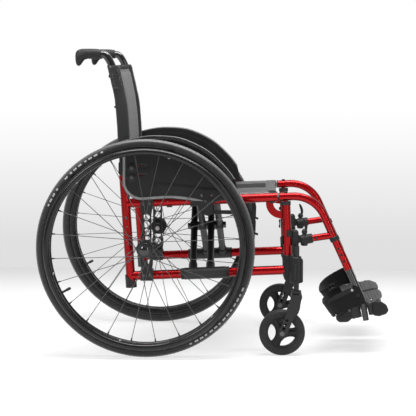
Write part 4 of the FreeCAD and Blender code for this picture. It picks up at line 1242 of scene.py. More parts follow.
def sleeve_point(z, angle, grow=0.0, wrinkled=True):
    cane_x, cane_w = cane(z)
    ahead, out = cos(angle), sin(angle)
    x = cane_x + 2.9 + (16.4 + grow) * blunt(ahead, 0.78)
    w = cane_w + (12.1 + grow) * blunt(out, 0.86)
    if wrinkled:
        fold = rumple((x * 0.5, w * 0.5, z), 0.022, 3.0) * 1.1
        fold += rumple((x, w, z * 1.4), 0.06, 9.0) * 0.45
        fold += 0.7 * exp(-((z - 738 + 0.5 * x) / 4.5) ** 2) * sin(angle * 2 + 1)
        x += fold * ahead
        w += fold * out * 0.8
    return (x, w, z)


def make_sleeve(side):
    part = Part()
    rings = []
    stations = np.linspace(534, 785.2, 96)
    for i, z in enumerate(stations):
        grow = {0: -1.2, len(stations) - 1: -0.9}.get(i, 0.0)
        if 777 < z < 784:
            grow = 0.35
        rings.append([sleeve_point(z, a, grow) for a in turns(44)])
    # top edge turned in
    for z, grow in ((785.8, -2.4), (784.6, -3.6), (774.0, -4.0)):
        rings.append([sleeve_point(z, a, grow, False) for a in turns(44)])
    part.rings(rings)
    # stitching round the top hem, then down the front
    hem = np.array([sleeve_point(776.5, a, 0.25) for a in np.linspace(0, 2 * pi, 60)])
    centre = hem.mean(0)
    hem = resample(hem, 3.6)
    for p, t in zip(hem, np.gradient(hem, axis=0)):
        t = unit(t) * 1.1
        part.tube([p - t, p + unit((p - centre) * (1, 1, 0)) * 0.3, p + t], 0.42, 5, 1)
    part.stitch([sleeve_point(z, 0.35, 0.2) for z in np.linspace(545, 772, 60)], (1, 0.4, 0))
    part.make("back_sleeve", side, "back thread", "frame", 70)


def make_sleeve_patch(side):
    """Glossy patch at the top of the sleeve, and two buttons."""
    part = Part()
    nu, nv = 34, 26
    outer, inner = [], []
    for j in range(nv + 1):
        z = 722.5 + (783.0 - 722.5) * j / nv
        inset = max(0, 1 - min(j, nv - j) / 3.0) * 0.08
        for k in range(nu + 1):
            u = k / nu
            angle = 0.50 + (2.95 - 0.50) * u + (0.5 - u) * inset
            fold = rumple((u * 40, z * 0.9 + u * 25, 5), 0.07, 2.0) * 1.3
            fold += rumple((u * 60, z * 1.2, 8), 0.16, 4.0) * 0.5
            edge = min(1.0, min(k, nu - k) / 2.0, min(j, nv - j) / 1.5)
            outer.append(sleeve_point(z, angle, 0.35 + 1.0 * edge + fold * edge))
            inner.append(sleeve_point(z, angle, -0.4))
    row, back = nu + 1, len(outer)
    faces = []
    for j in range(nv):
        for k in range(nu):
            a = j * row + k
            faces.append((a, a + 1, a + row + 1, a + row))
            faces.append(tuple(i + back for i in (a, a + row, a + row + 1, a + 1)))
    border = [*range(row), *(j * row + nu for j in range(1, nv + 1)),
              *(nv * row + k for k in range(nu - 1, -1, -1)),
              *(j * row for j in range(nv - 1, 0, -1))]
    faces += [(b, a, a + back, b + back) for a, b in zip(border, border[1:] + border[:1])]
    part.add(outer + inner, faces)
    for z, r in ((756, 4.4), (673, 2.8)):
        part.lathe(sleeve_point(z, pi - 0.25, 0.1), (-1, 0.25, 0),
                   [(0.5, -2.0), (r, -1.5), (r, 1.6), (r * 0.86, 2.9), (r * 0.4, 3.4)], 22, 1)
    part.make("sleeve_patch", side, "vinyl plastic", "frame", 60)


def panel_x(w, z, off=8.2):
    """x of the sagging panel, off its cane line; by default at mid thickness."""
    return cane(z)[0] + off - 7.0 * (1 - (w / PANEL_HALF) ** 2)


def panel_point(u, v, face):
    w = -PANEL_HALF + 2 * PANEL_HALF * u
    z = PANEL_BOTTOM + (PANEL_TOP - PANEL_BOTTOM) * v
    return (panel_x(w, z, 3.0 if face == 0 else 13.5), w, z)


def quilt(P):
    """Presses in the quilting lines on the rear face and the border on both."""
    out = P.copy()
    face = np.sign(P[:, 0] - np.array([panel_x(w, z) for w, z in P[:, 1:]]))
    for z in QUILT_LINES:
        out[:, 0] -= np.where(face < 0, face * 2.4, 0.0) * np.exp(-((P[:, 2] - z) / 3.6) ** 2)
    edge = np.minimum(np.abs(P[:, 2] - 550), np.abs(P[:, 2] - 768))
    out[:, 0] -= face * 2.2 * np.exp(-(edge / 3.2) ** 2)
    edge = np.abs(np.abs(P[:, 1]) - 166)
    out[:, 0] -= face * 1.8 * np.exp(-(edge / 3.2) ** 2)
    return out


def make_back_panel():
    panel = make_pad("back_panel", slab(40, 26, panel_point), MATERIALS["back_panel"],
                     voxel=5.0, reshape=quilt, pressure=3.5, limit=7.0, pin_beyond=174)
    # the rear face and the top and bottom edges wear the sleeve cloth
    panel.data.materials.append(MATERIALS["back"])
    cloth = [int(p.normal.x < -0.15 or p.center.z > 0.7745 or p.center.z < 0.545)
             for p in panel.data.polygons]
    panel.data.polygons.foreach_set("material_index", np.array(cloth, np.int32))
    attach(panel, "frame_right")
    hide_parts("back_upholstery")
    return panel


def make_back_seams():
    """Stitching on the rear face and bound top and bottom edges."""
    part = Part()
    for z in QUILT_LINES:
        part.stitch([(panel_x(w, z) - 8.2, w, z) for w in np.linspace(-160, 160, 60)],
                    (-1, 0, 0), 0.45, 3.8, 2.4, 0)
    for z in (779.5, 540.5):
        rings = []
        for w in np.linspace(-181, 181, 90):
            fold = 0.3 * rumple((w, z, 1), 0.09, 2)
            rings.append([(panel_x(w, z) + a * (1 + 0.04 * fold) + fold, w, z + b + fold)
                          for a, b in rectangle(6.6, 5.5, 3.6, 4)])
        part.rings(rings, 1)
    return part.make("back_seams", "", "thread web", "frame_right", 60)


for side in SIDES:
    make_sleeve(side)
    make_sleeve_patch(side)
for obj in (make_back_panel(), make_back_seams()):
    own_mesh(obj)

# ------------------------------------------------------------------ seat
RAIL_W = 183                                   # seat rail axis
RAIL_HEIGHT = 415.0 * PITCH_COS                # from the seat axes' origin
SEAT_HALF = 173
SEAT_THREAD = dict(radius=0.4, pitch=3.8, length=2.4)
# single puckers in the nylon: u, w, height
PUCKERS = ((48, -120, 1.2), (120, -60, 0.8), (236, -150, 1.3), (262, -96, -1.0),
           (318, -120, 1.1), (90, 120, 1.1), (214, 96, 1.0), (300, 140, 1.2))
RAIL_PLUG = [(10.9, -1.5), (11.0, 0.2), (10.6, 1.1), (8.8, 1.9), (4.0, 2.3), (0.8, 2.35)]


def seat_point(u, w, h):
    """u forward along the pitched rail, w outward, h square to it, from the rail axis."""
    return (u * PITCH_COS - (RAIL_HEIGHT + h) * PITCH_SIN, w,
            u * PITCH_SIN + (RAIL_HEIGHT + h) * PITCH_COS)


def crease(u, w):
    """Height of the puckers, running mostly along the chair."""
    height = 0.75 * rumple((u * 0.35, w * 2.1, 7), 0.034, 11)
    height += 0.42 * rumple((u * 1.1 + w * 0.8, w * 1.4, 2), 0.06, 5)
    for pucker_u, pucker_w, rise in PUCKERS:
        across = ((u - pucker_u) + 0.55 * (w - pucker_w)) / 9.0
        along = (w - pucker_w) / 34.0
        height += rise * exp(-across * across - along * along)
    return height


def crease_seat(P):
    """Puckers and edge seams, on the upper face only."""
    out = P.copy()
    u = P[:, 0] * PITCH_COS + P[:, 2] * PITCH_SIN
    h = -P[:, 0] * PITCH_SIN + P[:, 2] * PITCH_COS - RAIL_HEIGHT
    rise = np.array([crease(a, b) for a, b in zip(u, P[:, 1])])
    for seam in (-166, 166):
        rise -= 0.8 * np.exp(-((P[:, 1] - seam) / 3.2) ** 2)
    h = np.clip(h + rise * np.clip((h - 8.0) / 3.0, 0, 1), 3.0, 16.0)
    out[:, 0], _, out[:, 2] = seat_point(u, 0, h)
    return out


def seat_top(u, w):
    """Top of the pad near the middle."""
    return 13.7 + 0.4 * cos(w / SEAT_HALF * pi / 2) + crease(u, w)


def make_seat_pad():
    def place(u, v, face):
        return seat_point(-12 + 380 * u, -SEAT_HALF + 2 * SEAT_HALF * v,
                          6.4 if face == 0 else 12.2)
    seat = make_pad("seat_pad", slab(44, 42, place), MATERIALS["seat"], voxel=4.6,
                    reshape=crease_seat, pressure=2.6, limit=2.6, pin_beyond=168)
    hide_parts("seat_sling")
    return seat


def make_hook_strip():
    """Broad strip stitched down the middle of the seat."""
    part = Part()
    rings = []
    for u in np.linspace(-6, 343, 130):
        ring = []
        for w in np.linspace(-62, 62, 30):
            edge = min(1.0, (62 - abs(w)) / 1.5)
            nap = 0.16 * rumple((u * 3, w * 3, 1), 0.2, 4)
            ring.append(seat_point(u, w, seat_top(u, w) + 0.5 + 0.9 * edge + nap))
        ring += [seat_point(u, w, seat_top(u, w) - 2.0) for w in np.linspace(62, -62, 30)]
        rings.append(ring)
    part.sheet(rings)
    for w in (-58.5, 58.5):
        part.stitch([seat_point(u, w, seat_top(u, w) + 1.55) for u in np.linspace(-2, 340, 90)],
                    UPWARD, **SEAT_THREAD)
    return part.make("seat_hook_strip", "", "web thread", None, 60)


def make_seat_hem():
    """Doubled hems across the front and the back."""
    part = Part()
    for start, end in ((344.5, 370.8), (-15.0, 6.0)):
        rings = []
        stations = np.linspace(start, end, 14)
        for w in np.linspace(-176, 176, 120):
            ring = []
            for u in stations:
                edge = min(1.0, (u - start) / 1.5, (end - u) / 2.0 + 0.2)
                ring.append(seat_point(u, w, 12.2 + 1.9 * edge + 0.55 * crease(u * 0.4, w)
                                       + (0.3 if 348 < u < 367 else 0.0)))
            ring += [seat_point(u, w, 4.6 if (u > 366.5 or u < -10) else 10.0)
                     for u in stations[::-1]]
            rings.append(ring)
        part.rings(rings)
    for u in (348.5, 366.8, 2.0):
        part.stitch([seat_point(u, w, 14.35 + 0.55 * crease(u * 0.4, w))
                     for w in np.linspace(-172, 172, 100)], UPWARD, **SEAT_THREAD)
    return part.make("seat_hem", "", "seat thread", None, 60)


def make_seat_sheet():
    """Sling sheet under the pad."""
    part = Part()
    part.sheet([[seat_point(u, w, h + 0.5 * rumple((u, w, 3), 0.03, 6))
                 for h, end in ((6.4, SEAT_HALF), (4.8, -SEAT_HALF))
                 for w in np.linspace(-end, end, 60)]
                for u in np.linspace(-13, 368, 64)])
    return part.make("seat_base_sheet", "", "back", None, 60)


def rail_point(u, radius, angle, lift=0.0):
    return seat_point(u, RAIL_W + radius * cos(angle), radius * sin(angle) + lift)


def make_rail_wrap(side):
    """Nylon wrapped over the rail and tucked under it, in paler nylon: a painted highlight on
    the rail.
    """
    part = Part()
    # section: w, height, and the outward normal (w, height)
    section = [(150.0, 12.6, 0, 1), (156, 12.9, 0, 1), (164, 12.9, 0, 1), (171, 12.6, 0, 1)]
    for angle in np.radians(np.linspace(118, -62, 34)):
        section.append((RAIL_W + 12.3 * cos(angle), 12.3 * sin(angle), cos(angle), sin(angle)))
    rings = []
    for u in np.linspace(-14.5, 370.6, 170):
        outer, inner = [], []
        for w, h, normal_w, normal_h in section:
            if w < 172:
                outer.append((w, h + crease(u, SIGN[side] * w) * 0.9 + 0.6))
                inner.append((w, h - 2.4))
                continue
            fold = 0.8 * rumple((u * 0.5, h * 2.4, 7), 0.05, 11)
            fold += 0.35 * rumple((u * 1.5, h * 1.6 + u * 0.3, 2), 0.06, 5)
            fold -= 0.7 * exp(-((h - 4.5) / 1.3) ** 2)
            fold *= (1.0 if w > 184 else 0.7) * 0.55
            outer.append((w + normal_w * fold, h + normal_h * (fold + 0.3)))
            inner.append((w - normal_w, h - normal_h))
        rings.append([seat_point(u, w, h) for w, h in outer + inner[::-1]])
    part.sheet(rings)
    part.stitch([seat_point(u, 167.0, 13.1 + crease(u, SIGN[side] * 167.0) * 0.9 + 0.5)
                 for u in np.linspace(-8, 364, 90)], UPWARD, **SEAT_THREAD)
    # bound edge under the rail, then the binding at its front end
    part.tube([rail_point(u, 12.3, radians(-60), -0.4) for u in np.linspace(-14, 370, 90)],
              1.5, 8, 2)
    part.rings([[rail_point(u, radius, angle)
                 for radius, start, end in ((13.2, 104, -52), (11.4, -52, 104))
                 for angle in np.radians(np.linspace(start, end, 26))]
                for u in np.linspace(352, 371.4, 10)], 2)
    part.make("seat_rail_wrap", side, "seat_band thread web", "seat_rail", 60)


def make_rail_plugs(side):
    """Rounded plugs in the rail's open ends."""
    part = Part()
    for u, way in ((373.0, 1), (-16.5, -1)):
        part.lathe(seat_point(u, RAIL_W, 0), (way * PITCH_COS, 0, way * PITCH_SIN),
                   RAIL_PLUG, 36)
    part.make("seat_rail_plug", side, "plastic", "seat_rail", 40)


for obj in (make_seat_pad(), make_hook_strip(), make_seat_hem(), make_seat_sheet()):
    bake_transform(obj)
for side in SIDES:
    make_rail_wrap(side)
    make_rail_plugs(side)

# ------------------------------------------------------------------ front end
BARREL_X, BARREL_W, BARREL_RADIUS = 407.0, 238.0, 18.3
HOUSING_MID = np.array((398.0, 225.5))         # x, w
# stations up the housing: share of its height, radial offset
HOUSING_STATIONS = [(0.0, -3.2), (0.006, -1.9), (0.018, -0.7), (0.04, 0.0),
                    *((u, 0.0) for u in np.linspace(0.06, 0.93, 22)),
                    (0.955, -0.3), (0.975, -1.3), (0.99, -2.9), (1.0, -5.0)]
HANGER_DOWN = unit((0.4163, 0, -0.9092))       # along the hanger's lower tube


def upright_x(z):
    return 378.3 - 0.0433 * (z - 405.1)


def lower_tube_z(x):
    return 213.5 + 0.04366 * x


def upper_tube_z(x):
    return 413.4 + 0.04366 * x


def barrel_point(angle, radius, z):
    return (BARREL_X + radius * cos(angle), BARREL_W + radius * sin(angle), z)


def housing_radii(z):
    """Reach from HOUSING_MID over the clamp circle and the barrel circle, smoothed."""
    circles = ((np.array((upright_x(z) + 0.6, 210.6)), 16.6),
               (np.array((BARREL_X, BARREL_W)), BARREL_RADIUS))
    radii = []
    for angle in turns(96):
        ray = np.array((cos(angle), sin(angle)))
        reach = 0.0
        for centre, radius in circles:
            offset = HOUSING_MID - centre
            along = offset.dot(ray)
            square = along * along - (offset.dot(offset) - radius * radius)
            if square > 0:
                reach = max(reach, -along + sqrt(square))
        radii.append(reach)
    radii = np.array(radii)
    for _ in range(2):
        radii = (np.roll(radii, 1) + radii * 2 + np.roll(radii, -1)) / 4
    return radii


def make_housing(side):
    """Clamp and bearing barrel in one moulding."""
    part = Part()
    rings = []
    for u, offset in HOUSING_STATIONS:
        ring = []
        for angle, radius in zip(turns(96), housing_radii(200 + 70 * u) + offset):
            x, w = HOUSING_MID + radius * np.array((cos(angle), sin(angle)))
            top = 272.0 - max(0, (x - 392)) * 0.10 - max(0, (x - 408)) ** 2 * 0.018
            bottom = 199.2 + max(0, 384 - x) ** 2 * 0.085
            ring.append((x, w, bottom + (top - bottom) * u))
        rings.append(ring)
    part.rings(rings)
    # short ribs down the outer face
    angle = radians(97)
    across, outward = (sin(angle), -cos(angle), 0), (cos(angle), sin(angle), 0)
    for i in range(6):
        part.box(barrel_point(angle, BARREL_RADIUS, 250 - i * 7.6),
                 (across, UPWARD, outward), (2.2, 1.7, 1.0), 1.2, 3, 1)
    # raised bars down the barrel: degrees, radius, lower z, upper z, material
    for deg, radius, low, high, mat in ((70, 1.5, 206, 262, 1), (52, 1.3, 206, 259, 0),
                                        (84, 0.8, 206, 262, 0)):
        part.tube([barrel_point(radians(deg), 18.4, z) for z in np.linspace(low, high, 24)],
                  [radius * min(1, 0.3 + min(i, 23 - i) / 2.5) for i in range(24)], 10, mat)
    part.lathe((BARREL_X, BARREL_W, 199.6), (0, 0, -1),
               [(6.1, -1), (12.4, -1), (12.4, 1.2), (11.4, 2.0), (7.0, 2.2), (6.1, 1.6)], 40)
    part.lathe((BARREL_X, BARREL_W, 269.2), UPWARD,
               [(8.2, -3), (13.4, -3), (13.4, 0.4), (12.6, 1.3), (9.2, 1.6), (8.2, 1.2)], 40)
    for x, z in ((378, 258), (381, 214)):
        part.screw((x, 227.2, z), OUTWARD, 3.0, 1.6, 2)
    part.make("housing_shell", side, "plastic plate_plastic black_metal", "frame", 48,
              "caster_housing")


def make_hanger_buttons(side):
    """Buttons, collar, end plug and knob on the hanger."""
    part = Part()
    for x, z, r in ((501.7, 336.3, 2.3), (521.9, 290.2, 2.5), (529.1, 272.5, 2.5),
                    (536.3, 255.3, 2.5)):
        part.lathe((x, 220.2, z), OUTWARD, [(r + 1.1, -1.4), (r + 1.1, 1.1), (r + 0.4, 1.6),
                                            (r * 0.9, 1.3), (r * 0.4, 1.2)], 22)
    part.lathe((460.8, 218.6, 317.8), OUTWARD, [(3.9, -0.5), (3.9, 1.0), (3.2, 2.1),
                                                (1.2, 2.5)], 22)
    collar = np.array((510.6, TUBE_W, 316.5))
    part.lathe(collar, HANGER_DOWN, [(11.1, -6.5), (12.6, -6.5), (13.4, -5.4), (13.4, 5.4),
                                     (12.6, 6.5), (11.1, 6.5), (11.1, 0)], 36, loop=True)
    part.box(collar + np.array((0, 13.5, 0)),
             (HANGER_DOWN, np.cross(HANGER_DOWN, OUTWARD), OUTWARD), (6.4, 4.8, 2.6), 2.4, 4)
    part.screw((498.5, 220.0, 343.5), OUTWARD, 2.8, 1.4)
    part.lathe((359.9, TUBE_W, 429.6), (-PITCH_COS, 0, -PITCH_SIN),
               [(9.6, -3), (11.3, -0.6), (11.5, 0.6), (10.6, 1.9), (5.2, 2.3), (0.5, 2.3)], 32)
    part.screw((377.5, TUBE_W, 441.6), UPWARD, 5.2, 2.6)
    part.make("hanger_buttons", side, "plastic", "leg_support", 35)


def make_catch_pad(side):
    """Pad behind the upright; it swings with the leg support."""
    part = Part()
    x = upright_x(311)
    part.box((x - 15.1, TUBE_W, 311), (FORWARD, UPWARD, OUTWARD), (1.6, 13.0, 7.5), 1.4, 3)
    for z in (303.5, 318.5):
        part.screw((x - 16.5, TUBE_W, z), (-1, 0, 0), 3.2, 1.8)
    part.make("catch_pad", side, "plastic", "leg_support", 35)


def make_frame_fittings(side):
    """Button on the upright and plain pale bars on the lower tube."""
    part = Part()
    part.lathe((upright_x(356.5) - 12.2, TUBE_W, 356.5), (-1, 0, 0),
               [(4.6, -0.5), (4.6, 1.8), (3.8, 3.3), (1.5, 3.9)], 24)
    tube_radius = 12.5
    for start, end in ((247, 262), (268, 274), (280, 283)):
        part.rings([[(x, TUBE_W + radius * cos(a), lower_tube_z(x) + radius * sin(a))
                     for radius, first, last in ((tube_radius + 0.22, -38, 42),
                                                 (tube_radius - 0.2, 42, -38))
                     for a in np.radians(np.linspace(first, last, 14))]
                    for x in np.linspace(start, end, 8)], 1)
    part.make("frame_fittings", side, "plastic pale_mark", "frame", 35)


def make_socket_screws(side):
    part = Part()
    for z in (upper_tube_z(0) - 2, lower_tube_z(0) + 2):
        for x in (-8.5, 8.5):
            part.screw((x, 229.2, z), OUTWARD, 4.6, 2.6)
    for z in (372, 347, 325, 300, 276, 252):
        part.screw((-56 - 0.0644 * (z - 376), 222.3, z), OUTWARD, 4.2 if z == 372 else 2.6, 1.7)
    for x in (28.0, 42.0, 89.0):
        part.screw((x, 222.3, lower_tube_z(x)), OUTWARD, 2.9, 1.6)
    for x in (22.0, 57.0, 122.0):
        part.screw((x, 222.2, upper_tube_z(x)), OUTWARD, 2.6, 1.5)
    part.make("socket_screws", side, "dark_steel", "frame", 30, "frame_screws")


def make_latch_shell(side):
    """Body round the lever foot, with a ringed sleeve ahead of it."""
    part = Part()
    part.lathe((428.6, TUBE_W, 300.5), (0.03, 0, 1),
               [(3.0, -4.5), (7.6, -3.9), (9.2, -1.5), (10.6, 4), (11.2, 11), (11.2, 17),
                (10.2, 21.5), (8.6, 24.5), (7.4, 26.5), (7.0, 27.2)], 40,
               radius_at=lambda r, h, a: r * (1 + 0.025 * cos(a * 8)))
    ahead = unit((67.5, 0, 10.5))
    for k in range(5):
        part.lathe((437.5 + 2.4 * k, TUBE_W, 315.2 + 0.37 * k), ahead,
                   [(12.9, -0.9), (13.5, -0.5), (13.5, 0.5), (12.9, 0.9), (12.5, 0)], 36,
                   loop=True)
    part.lathe((450.0, TUBE_W, 317.0), ahead,
               [(9.6, -1.5), (12.6, -1.2), (12.9, 0), (12.2, 1.4), (9.6, 1.8)], 36)
    part.box((403.5, TUBE_W, 317.5), (UPWARD, OUTWARD, FORWARD), (21.0, 9.2, 5.2), 4.5, 5)
    part.make("latch_shell", side, "plastic", "leg_support", 42)


def make_thumb_lever(side):
    """Lever with a bulb foot and a thumb blade."""
    part = Part()
    path = spline([(429.5, 334), (432.6, 340), (433.4, 348), (431.6, 357), (428.4, 365),
                   (425.2, 370)], 40)
    rings = []
    for i, (p, t) in enumerate(zip(path, np.gradient(path, axis=0))):
        u = i / 39
        t = unit(t)
        half_thick = 2.6 + 1.4 * sin(pi * u) - 1.5 * max(0, u - 0.86) / 0.14
        half_wide = 4.6 - 1.6 * u
        rings.append([(p[0] - t[1] * a, TUBE_W + b, p[1] + t[0] * a) for a, b in
                      rectangle(half_thick, half_wide, min(half_thick, half_wide) * 0.85, 5)])
    part.rings(rings)
    part.lathe((429.2, TUBE_W, 334.4), (0.1, 0, 1),
               [(1.5, -7.0), (5.2, -6.0), (7.6, -2.5), (8.0, 0.5), (7.0, 4.2), (4.6, 7.2),
                (2.0, 8.4)], 32)
    part.make("thumb_lever", side, "plastic", "latch", 50, "latch_lever")


# ---- footplate, drawn in its own tilted axes
PLATE_TILT = radians(13)
PLATE_AHEAD = np.array((cos(PLATE_TILT), 0, sin(PLATE_TILT)))
PLATE_UP = np.array((-sin(PLATE_TILT), 0, cos(PLATE_TILT)))
PLATE_ORIGIN = np.array((592.0, 0, 128.9))
# (ahead, w)
PLATE_OUTLINE = round_corners([(-76, 15.5), (57, 15.5), (61, 60), (59.5, 112), (44, 184.5),
                               (-60, 184.5), (-76, 156)], [12, 12, 40, 40, 18, 14, 18])
# lobes of the outer skirt, (x, z): rear, then front
PLATE_LOBES = (
    round_corners([(516.5, 102), (533, 110), (545, 121), (551, 127), (561, 128.5), (563.5, 96),
                   (550, 84), (526, 83.5), (518.5, 90)], [7, 12, 10, 8, 3, 6, 12, 10, 7], 7),
    round_corners([(613, 140.5), (622, 142.5), (640, 141.5), (655, 132), (661.5, 118),
                   (655, 107.5), (636, 100.6), (618, 103.0)], [3, 4, 10, 12, 9, 10, 14, 8], 7))


def plate_point(ahead, w, h):
    return PLATE_ORIGIN + PLATE_AHEAD * ahead + PLATE_UP * h + np.array((0, w, 0))


def plate_tread(P):
    """Ribs across the plate, in two fields, inside a rim groove."""
    ahead, w = P[:, 0], P[:, 1]
    edge = line_distance(P, PLATE_OUTLINE)
    rib = 1.15 * np.clip(np.cos(ahead * 2 * pi / 8.4) * 1.6, -0.6, 1.0)
    field = np.clip((edge - 7) / 3.0, 0, 1) * ((w > 34) & (w < 172))
    split = 1.0 - np.exp(-((w - 96) / 3.0) ** 2)
    return rib * field * split - 0.9 * np.exp(-((edge - 5.2) / 1.5) ** 2)


def make_footplate(side):
    part = Part()
    part.plate(PLATE_OUTLINE, lambda P, h: np.array([plate_point(a, w, up - 1.0)
                                                     for (a, w), up in zip(P, h)]),
               9.0, detail(2.2, 5.0), top=plate_tread, bevel=2.0)
    for w in (50, 82, 114, 146):
        part.box(plate_point(-6, w, -2.6), (PLATE_AHEAD, PLATE_UP, OUTWARD), (58, 3.0, 1.6),
                 1.4, 2)
    for lobe in PLATE_LOBES:
        part.plate(lobe, side_plane(185.0), 14.5, 2.4, bevel=3.0, mat=1, top=lambda P:
                   -2.6 * (1 - np.clip(line_distance(P, lobe) / 9.0, 0, 1)) ** 2)
    for sign in (-1, 1):
        part.lathe(plate_point(sign * 11.2, 186.0, 0), sign * PLATE_AHEAD,
                   [(4.2, -2.4), (9.0, -2.4), (9.6, -1.6), (9.6, 2.2), (4.2, 2.2), (4.2, 0)],
                   32, 1, loop=True)
        part.box(plate_point(sign * 11.6, 193.0, -13), (PLATE_UP, OUTWARD, PLATE_AHEAD),
                 (15.0, 5.0, 1.7), 1.2, 3, 1)
    # hinge blocks with three upright slats: rear end, front end, centre height, half height
    for rear, front, height, half in ((-37.5, -12.5, -10.5, 18.6), (12.5, 34.0, -12.0, 17.6)):
        part.box(plate_point((rear + front) / 2, 190.5, height),
                 (PLATE_AHEAD, PLATE_UP, OUTWARD), ((front - rear) / 2, half, 5.6), 3.0, 5)
        for k in range(3):
            part.box(plate_point(rear + (front - rear) * (k + 0.5) / 3, 196.2, -10.5),
                     (PLATE_UP, PLATE_AHEAD, OUTWARD), (13.5, 1.3, 0.9), 1.0, 2)
    part.screw((554.0, 199.0, 116.8), OUTWARD, 4.0, 2.0, 3)
    part.screw((626.5, 197.5, 131.5), OUTWARD, 3.6, 1.0, 1)
    for ahead in (-24, 24):
        part.screw(plate_point(ahead, 176, 8.0), PLATE_UP, 3.8, 1.6, 2)
    part.make("ribbed_footplate", side, "plate_plastic plastic steel dark_steel", "footrest",
              40, "footplate")


# ---- heel loop: edges of the band from outside the tube round to the inner end, (x, w, z)
HEEL_TOP = {
    "left": [(578.0, 222.2, 184.0), (556, 222.4, 176.0), (523, 222, 158.0),
             (501.5, 213.5, 144), (489, 192, 133), (484.5, 160, 126.5), (483.5, 110, 125),
             (486, 72, 128.5), (497, 48, 139), (512, 41.5, 150), (530, 41.5, 163)],
    "right": [(573.0, 222.2, 188.5), (552, 222.4, 181.5), (522, 222, 168.0),
              (501, 213.5, 155), (488, 192, 141), (483.5, 160, 131.5), (483.5, 110, 128),
              (486, 72, 130), (497, 48, 139), (512, 41.5, 150), (530, 41.5, 163)]}
HEEL_BOTTOM = {
    "left": [(599, 222.2, 141.5), (579, 222.4, 129), (549, 221, 109), (528, 212.5, 97),
             (515, 192, 89), (511.5, 160, 87), (511, 110, 87), (512.5, 72, 90),
             (514.5, 50, 101), (528, 42.5, 121), (547, 42, 130)],
    "right": [(597.0, 222.2, 141.5), (577, 222.4, 134.0), (547, 221, 122.5),
              (527, 212.5, 110), (514, 192, 98.5), (511, 160, 93.0), (511, 110, 91.0),
              (512.5, 72, 92.5), (514.5, 50, 103), (528, 42.5, 121), (547, 42, 130)]}


def clear_of_plate(bottom, top):
    """Draws the lower edge toward the upper one until it clears the footplate."""
    for i in range(len(bottom)):
        for _ in range(80):
            p = bottom[i]
            offset = p - PLATE_ORIGIN
            if offset.dot(PLATE_AHEAD) < -79 or offset.dot(PLATE_UP) > 9.9 or p[1] > 204:
                break
            bottom[i] = p + (top[i] - p) * 0.02


def make_heel_strap(side):
    """Webbing band round the heel, with a narrow strap along its top and a buckle."""
    part = Part()
    count = detail(150, 70)
    half = count // 2
    top, bottom = spline(HEEL_TOP[side], count), spline(HEEL_BOTTOM[side], count)
    clear_of_plate(bottom, top)
    middle = (top + bottom) / 2
    along = np.gradient(middle, axis=0)
    normals = []
    for i in range(count):
        normal = unit(np.cross(along[i], bottom[i] - top[i]))
        outside = normal.dot(middle[i] - np.array((560.0, 125.0, 150.0))) >= 0
        normals.append(normal if outside else -normal)

    def band_point(i, v, off):
        """Station i, v from the top edge to the bottom, off outward."""
        p = top[i] + (bottom[i] - top[i]) * v
        wave = 1.3 * (rumple(p, 0.032, 3) + 0.35 * rumple(p, 0.10, 3))
        if p[1] > 205:
            wave = wave * 0.35 + 0.5 * exp(-((p[0] + 0.53 * p[2] - 626) / 3.0) ** 2)
        return p + normals[i] * (off + wave)

    def ribbon(off, v0, v1, thick, first, last, mat, m):
        steps = [(k, 1) for k in range(m + 1)] + [(k, -1) for k in range(m, -1, -1)]
        part.rings([[band_point(i, v0 + (v1 - v0) * k / m,
                                off + face * thick / 2 * (1 if 0 < k < m else 0.45))
                     for k, face in steps] for i in range(first, last)], mat)

    def station(line, x):
        return int(np.argmin(np.abs(line[:, 0] - x)))

    ribbon(0.0, 0.0, 1.0, 2.6, 0, count, 0, 14)
    ribbon(2.1, 0.035, 0.235, 1.6, station(middle[:half], 568), station(middle[:half], 504),
           1, 8)
    # stitching along both edges, then across the band: path, pitch, half length
    seams = [([band_point(i, v, 1.55) for i in range(2, count - 2)], 3.8, 1.2)
             for v in (0.045, 0.955)]
    seams += [([band_point(i, v, 1.55) for v in np.linspace(0.05, 0.95, 20)], 3.4, 1.1)
              for i in (3, int(count * 0.155))]
    for path, pitch, half_length in seams:
        path = resample(path, pitch)
        for p, t in zip(path, np.gradient(path, axis=0)):
            t = unit(t) * half_length
            part.tube([p - t, p, p + t], [0.3, 0.5, 0.3], 5, 1)
    # ladder buckle on the inner run
    i = station(middle[half:], 520) + half
    ahead, down, out = unit(along[i]), unit(bottom[i] - top[i]), normals[i]
    centre = band_point(i, 0.36, 0.0)
    raised = centre + out * 2.2
    loop = [raised + ahead * a + down * b for a, b in rectangle(9, 12, 4.0, 5)]
    part.tube(loop + loop[:2], 1.7, 10, 2, cap=False)
    part.tube([raised - down * 12, centre + out * 3.0, raised + down * 12], 1.5, 10, 2)
    part.screw(band_point(station(top[:half], 556), 0.13, 2.6), OUTWARD, 3.6, 1.8, 3)
    part.screw(band_point(int(count * 0.035), 0.5, 1.2), OUTWARD, 4.2, 1.4, 2)
    strap = part.make("heel_strap", side, "web web_light plastic steel", None, 50,
                      "heel_loop")
    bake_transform(strap)


for side in SIDES:
    make_housing(side)
    make_hanger_buttons(side)
    make_catch_pad(side)
    make_frame_fittings(side)
    make_socket_screws(side)
    make_latch_shell(side)
    make_thumb_lever(side)
    make_footplate(side)
    make_heel_strap(side)

# ------------------------------------------------------------------ CAD pieces kept
# bevel width in mm on each kind of piece
BEVELS = dict.fromkeys(("axle_plate", "brake_base", "caster_bolt", "hanger_latch",
                        "release_button", "axle_pin", "plastic_fittings", "pivot_bolt",
                        "footrest_tube"), 0.45)
BEVELS.update(caster_fork=0.9, brake_lever=0.7)


def soften_edges(obj, width):
    obj.modifiers.new("weld", "WELD").merge_threshold = 2e-6
    bevel = obj.modifiers.new("edge", "BEVEL")
    bevel.width = width / 1000.0
    bevel.segments = 2
    bevel.limit_method = "ANGLE"
    bevel.angle_limit = radians(38)
    normals = obj.modifiers.new("normals", "WEIGHTED_NORMAL")
    normals.keep_sharp = True
    normals.weight = 80


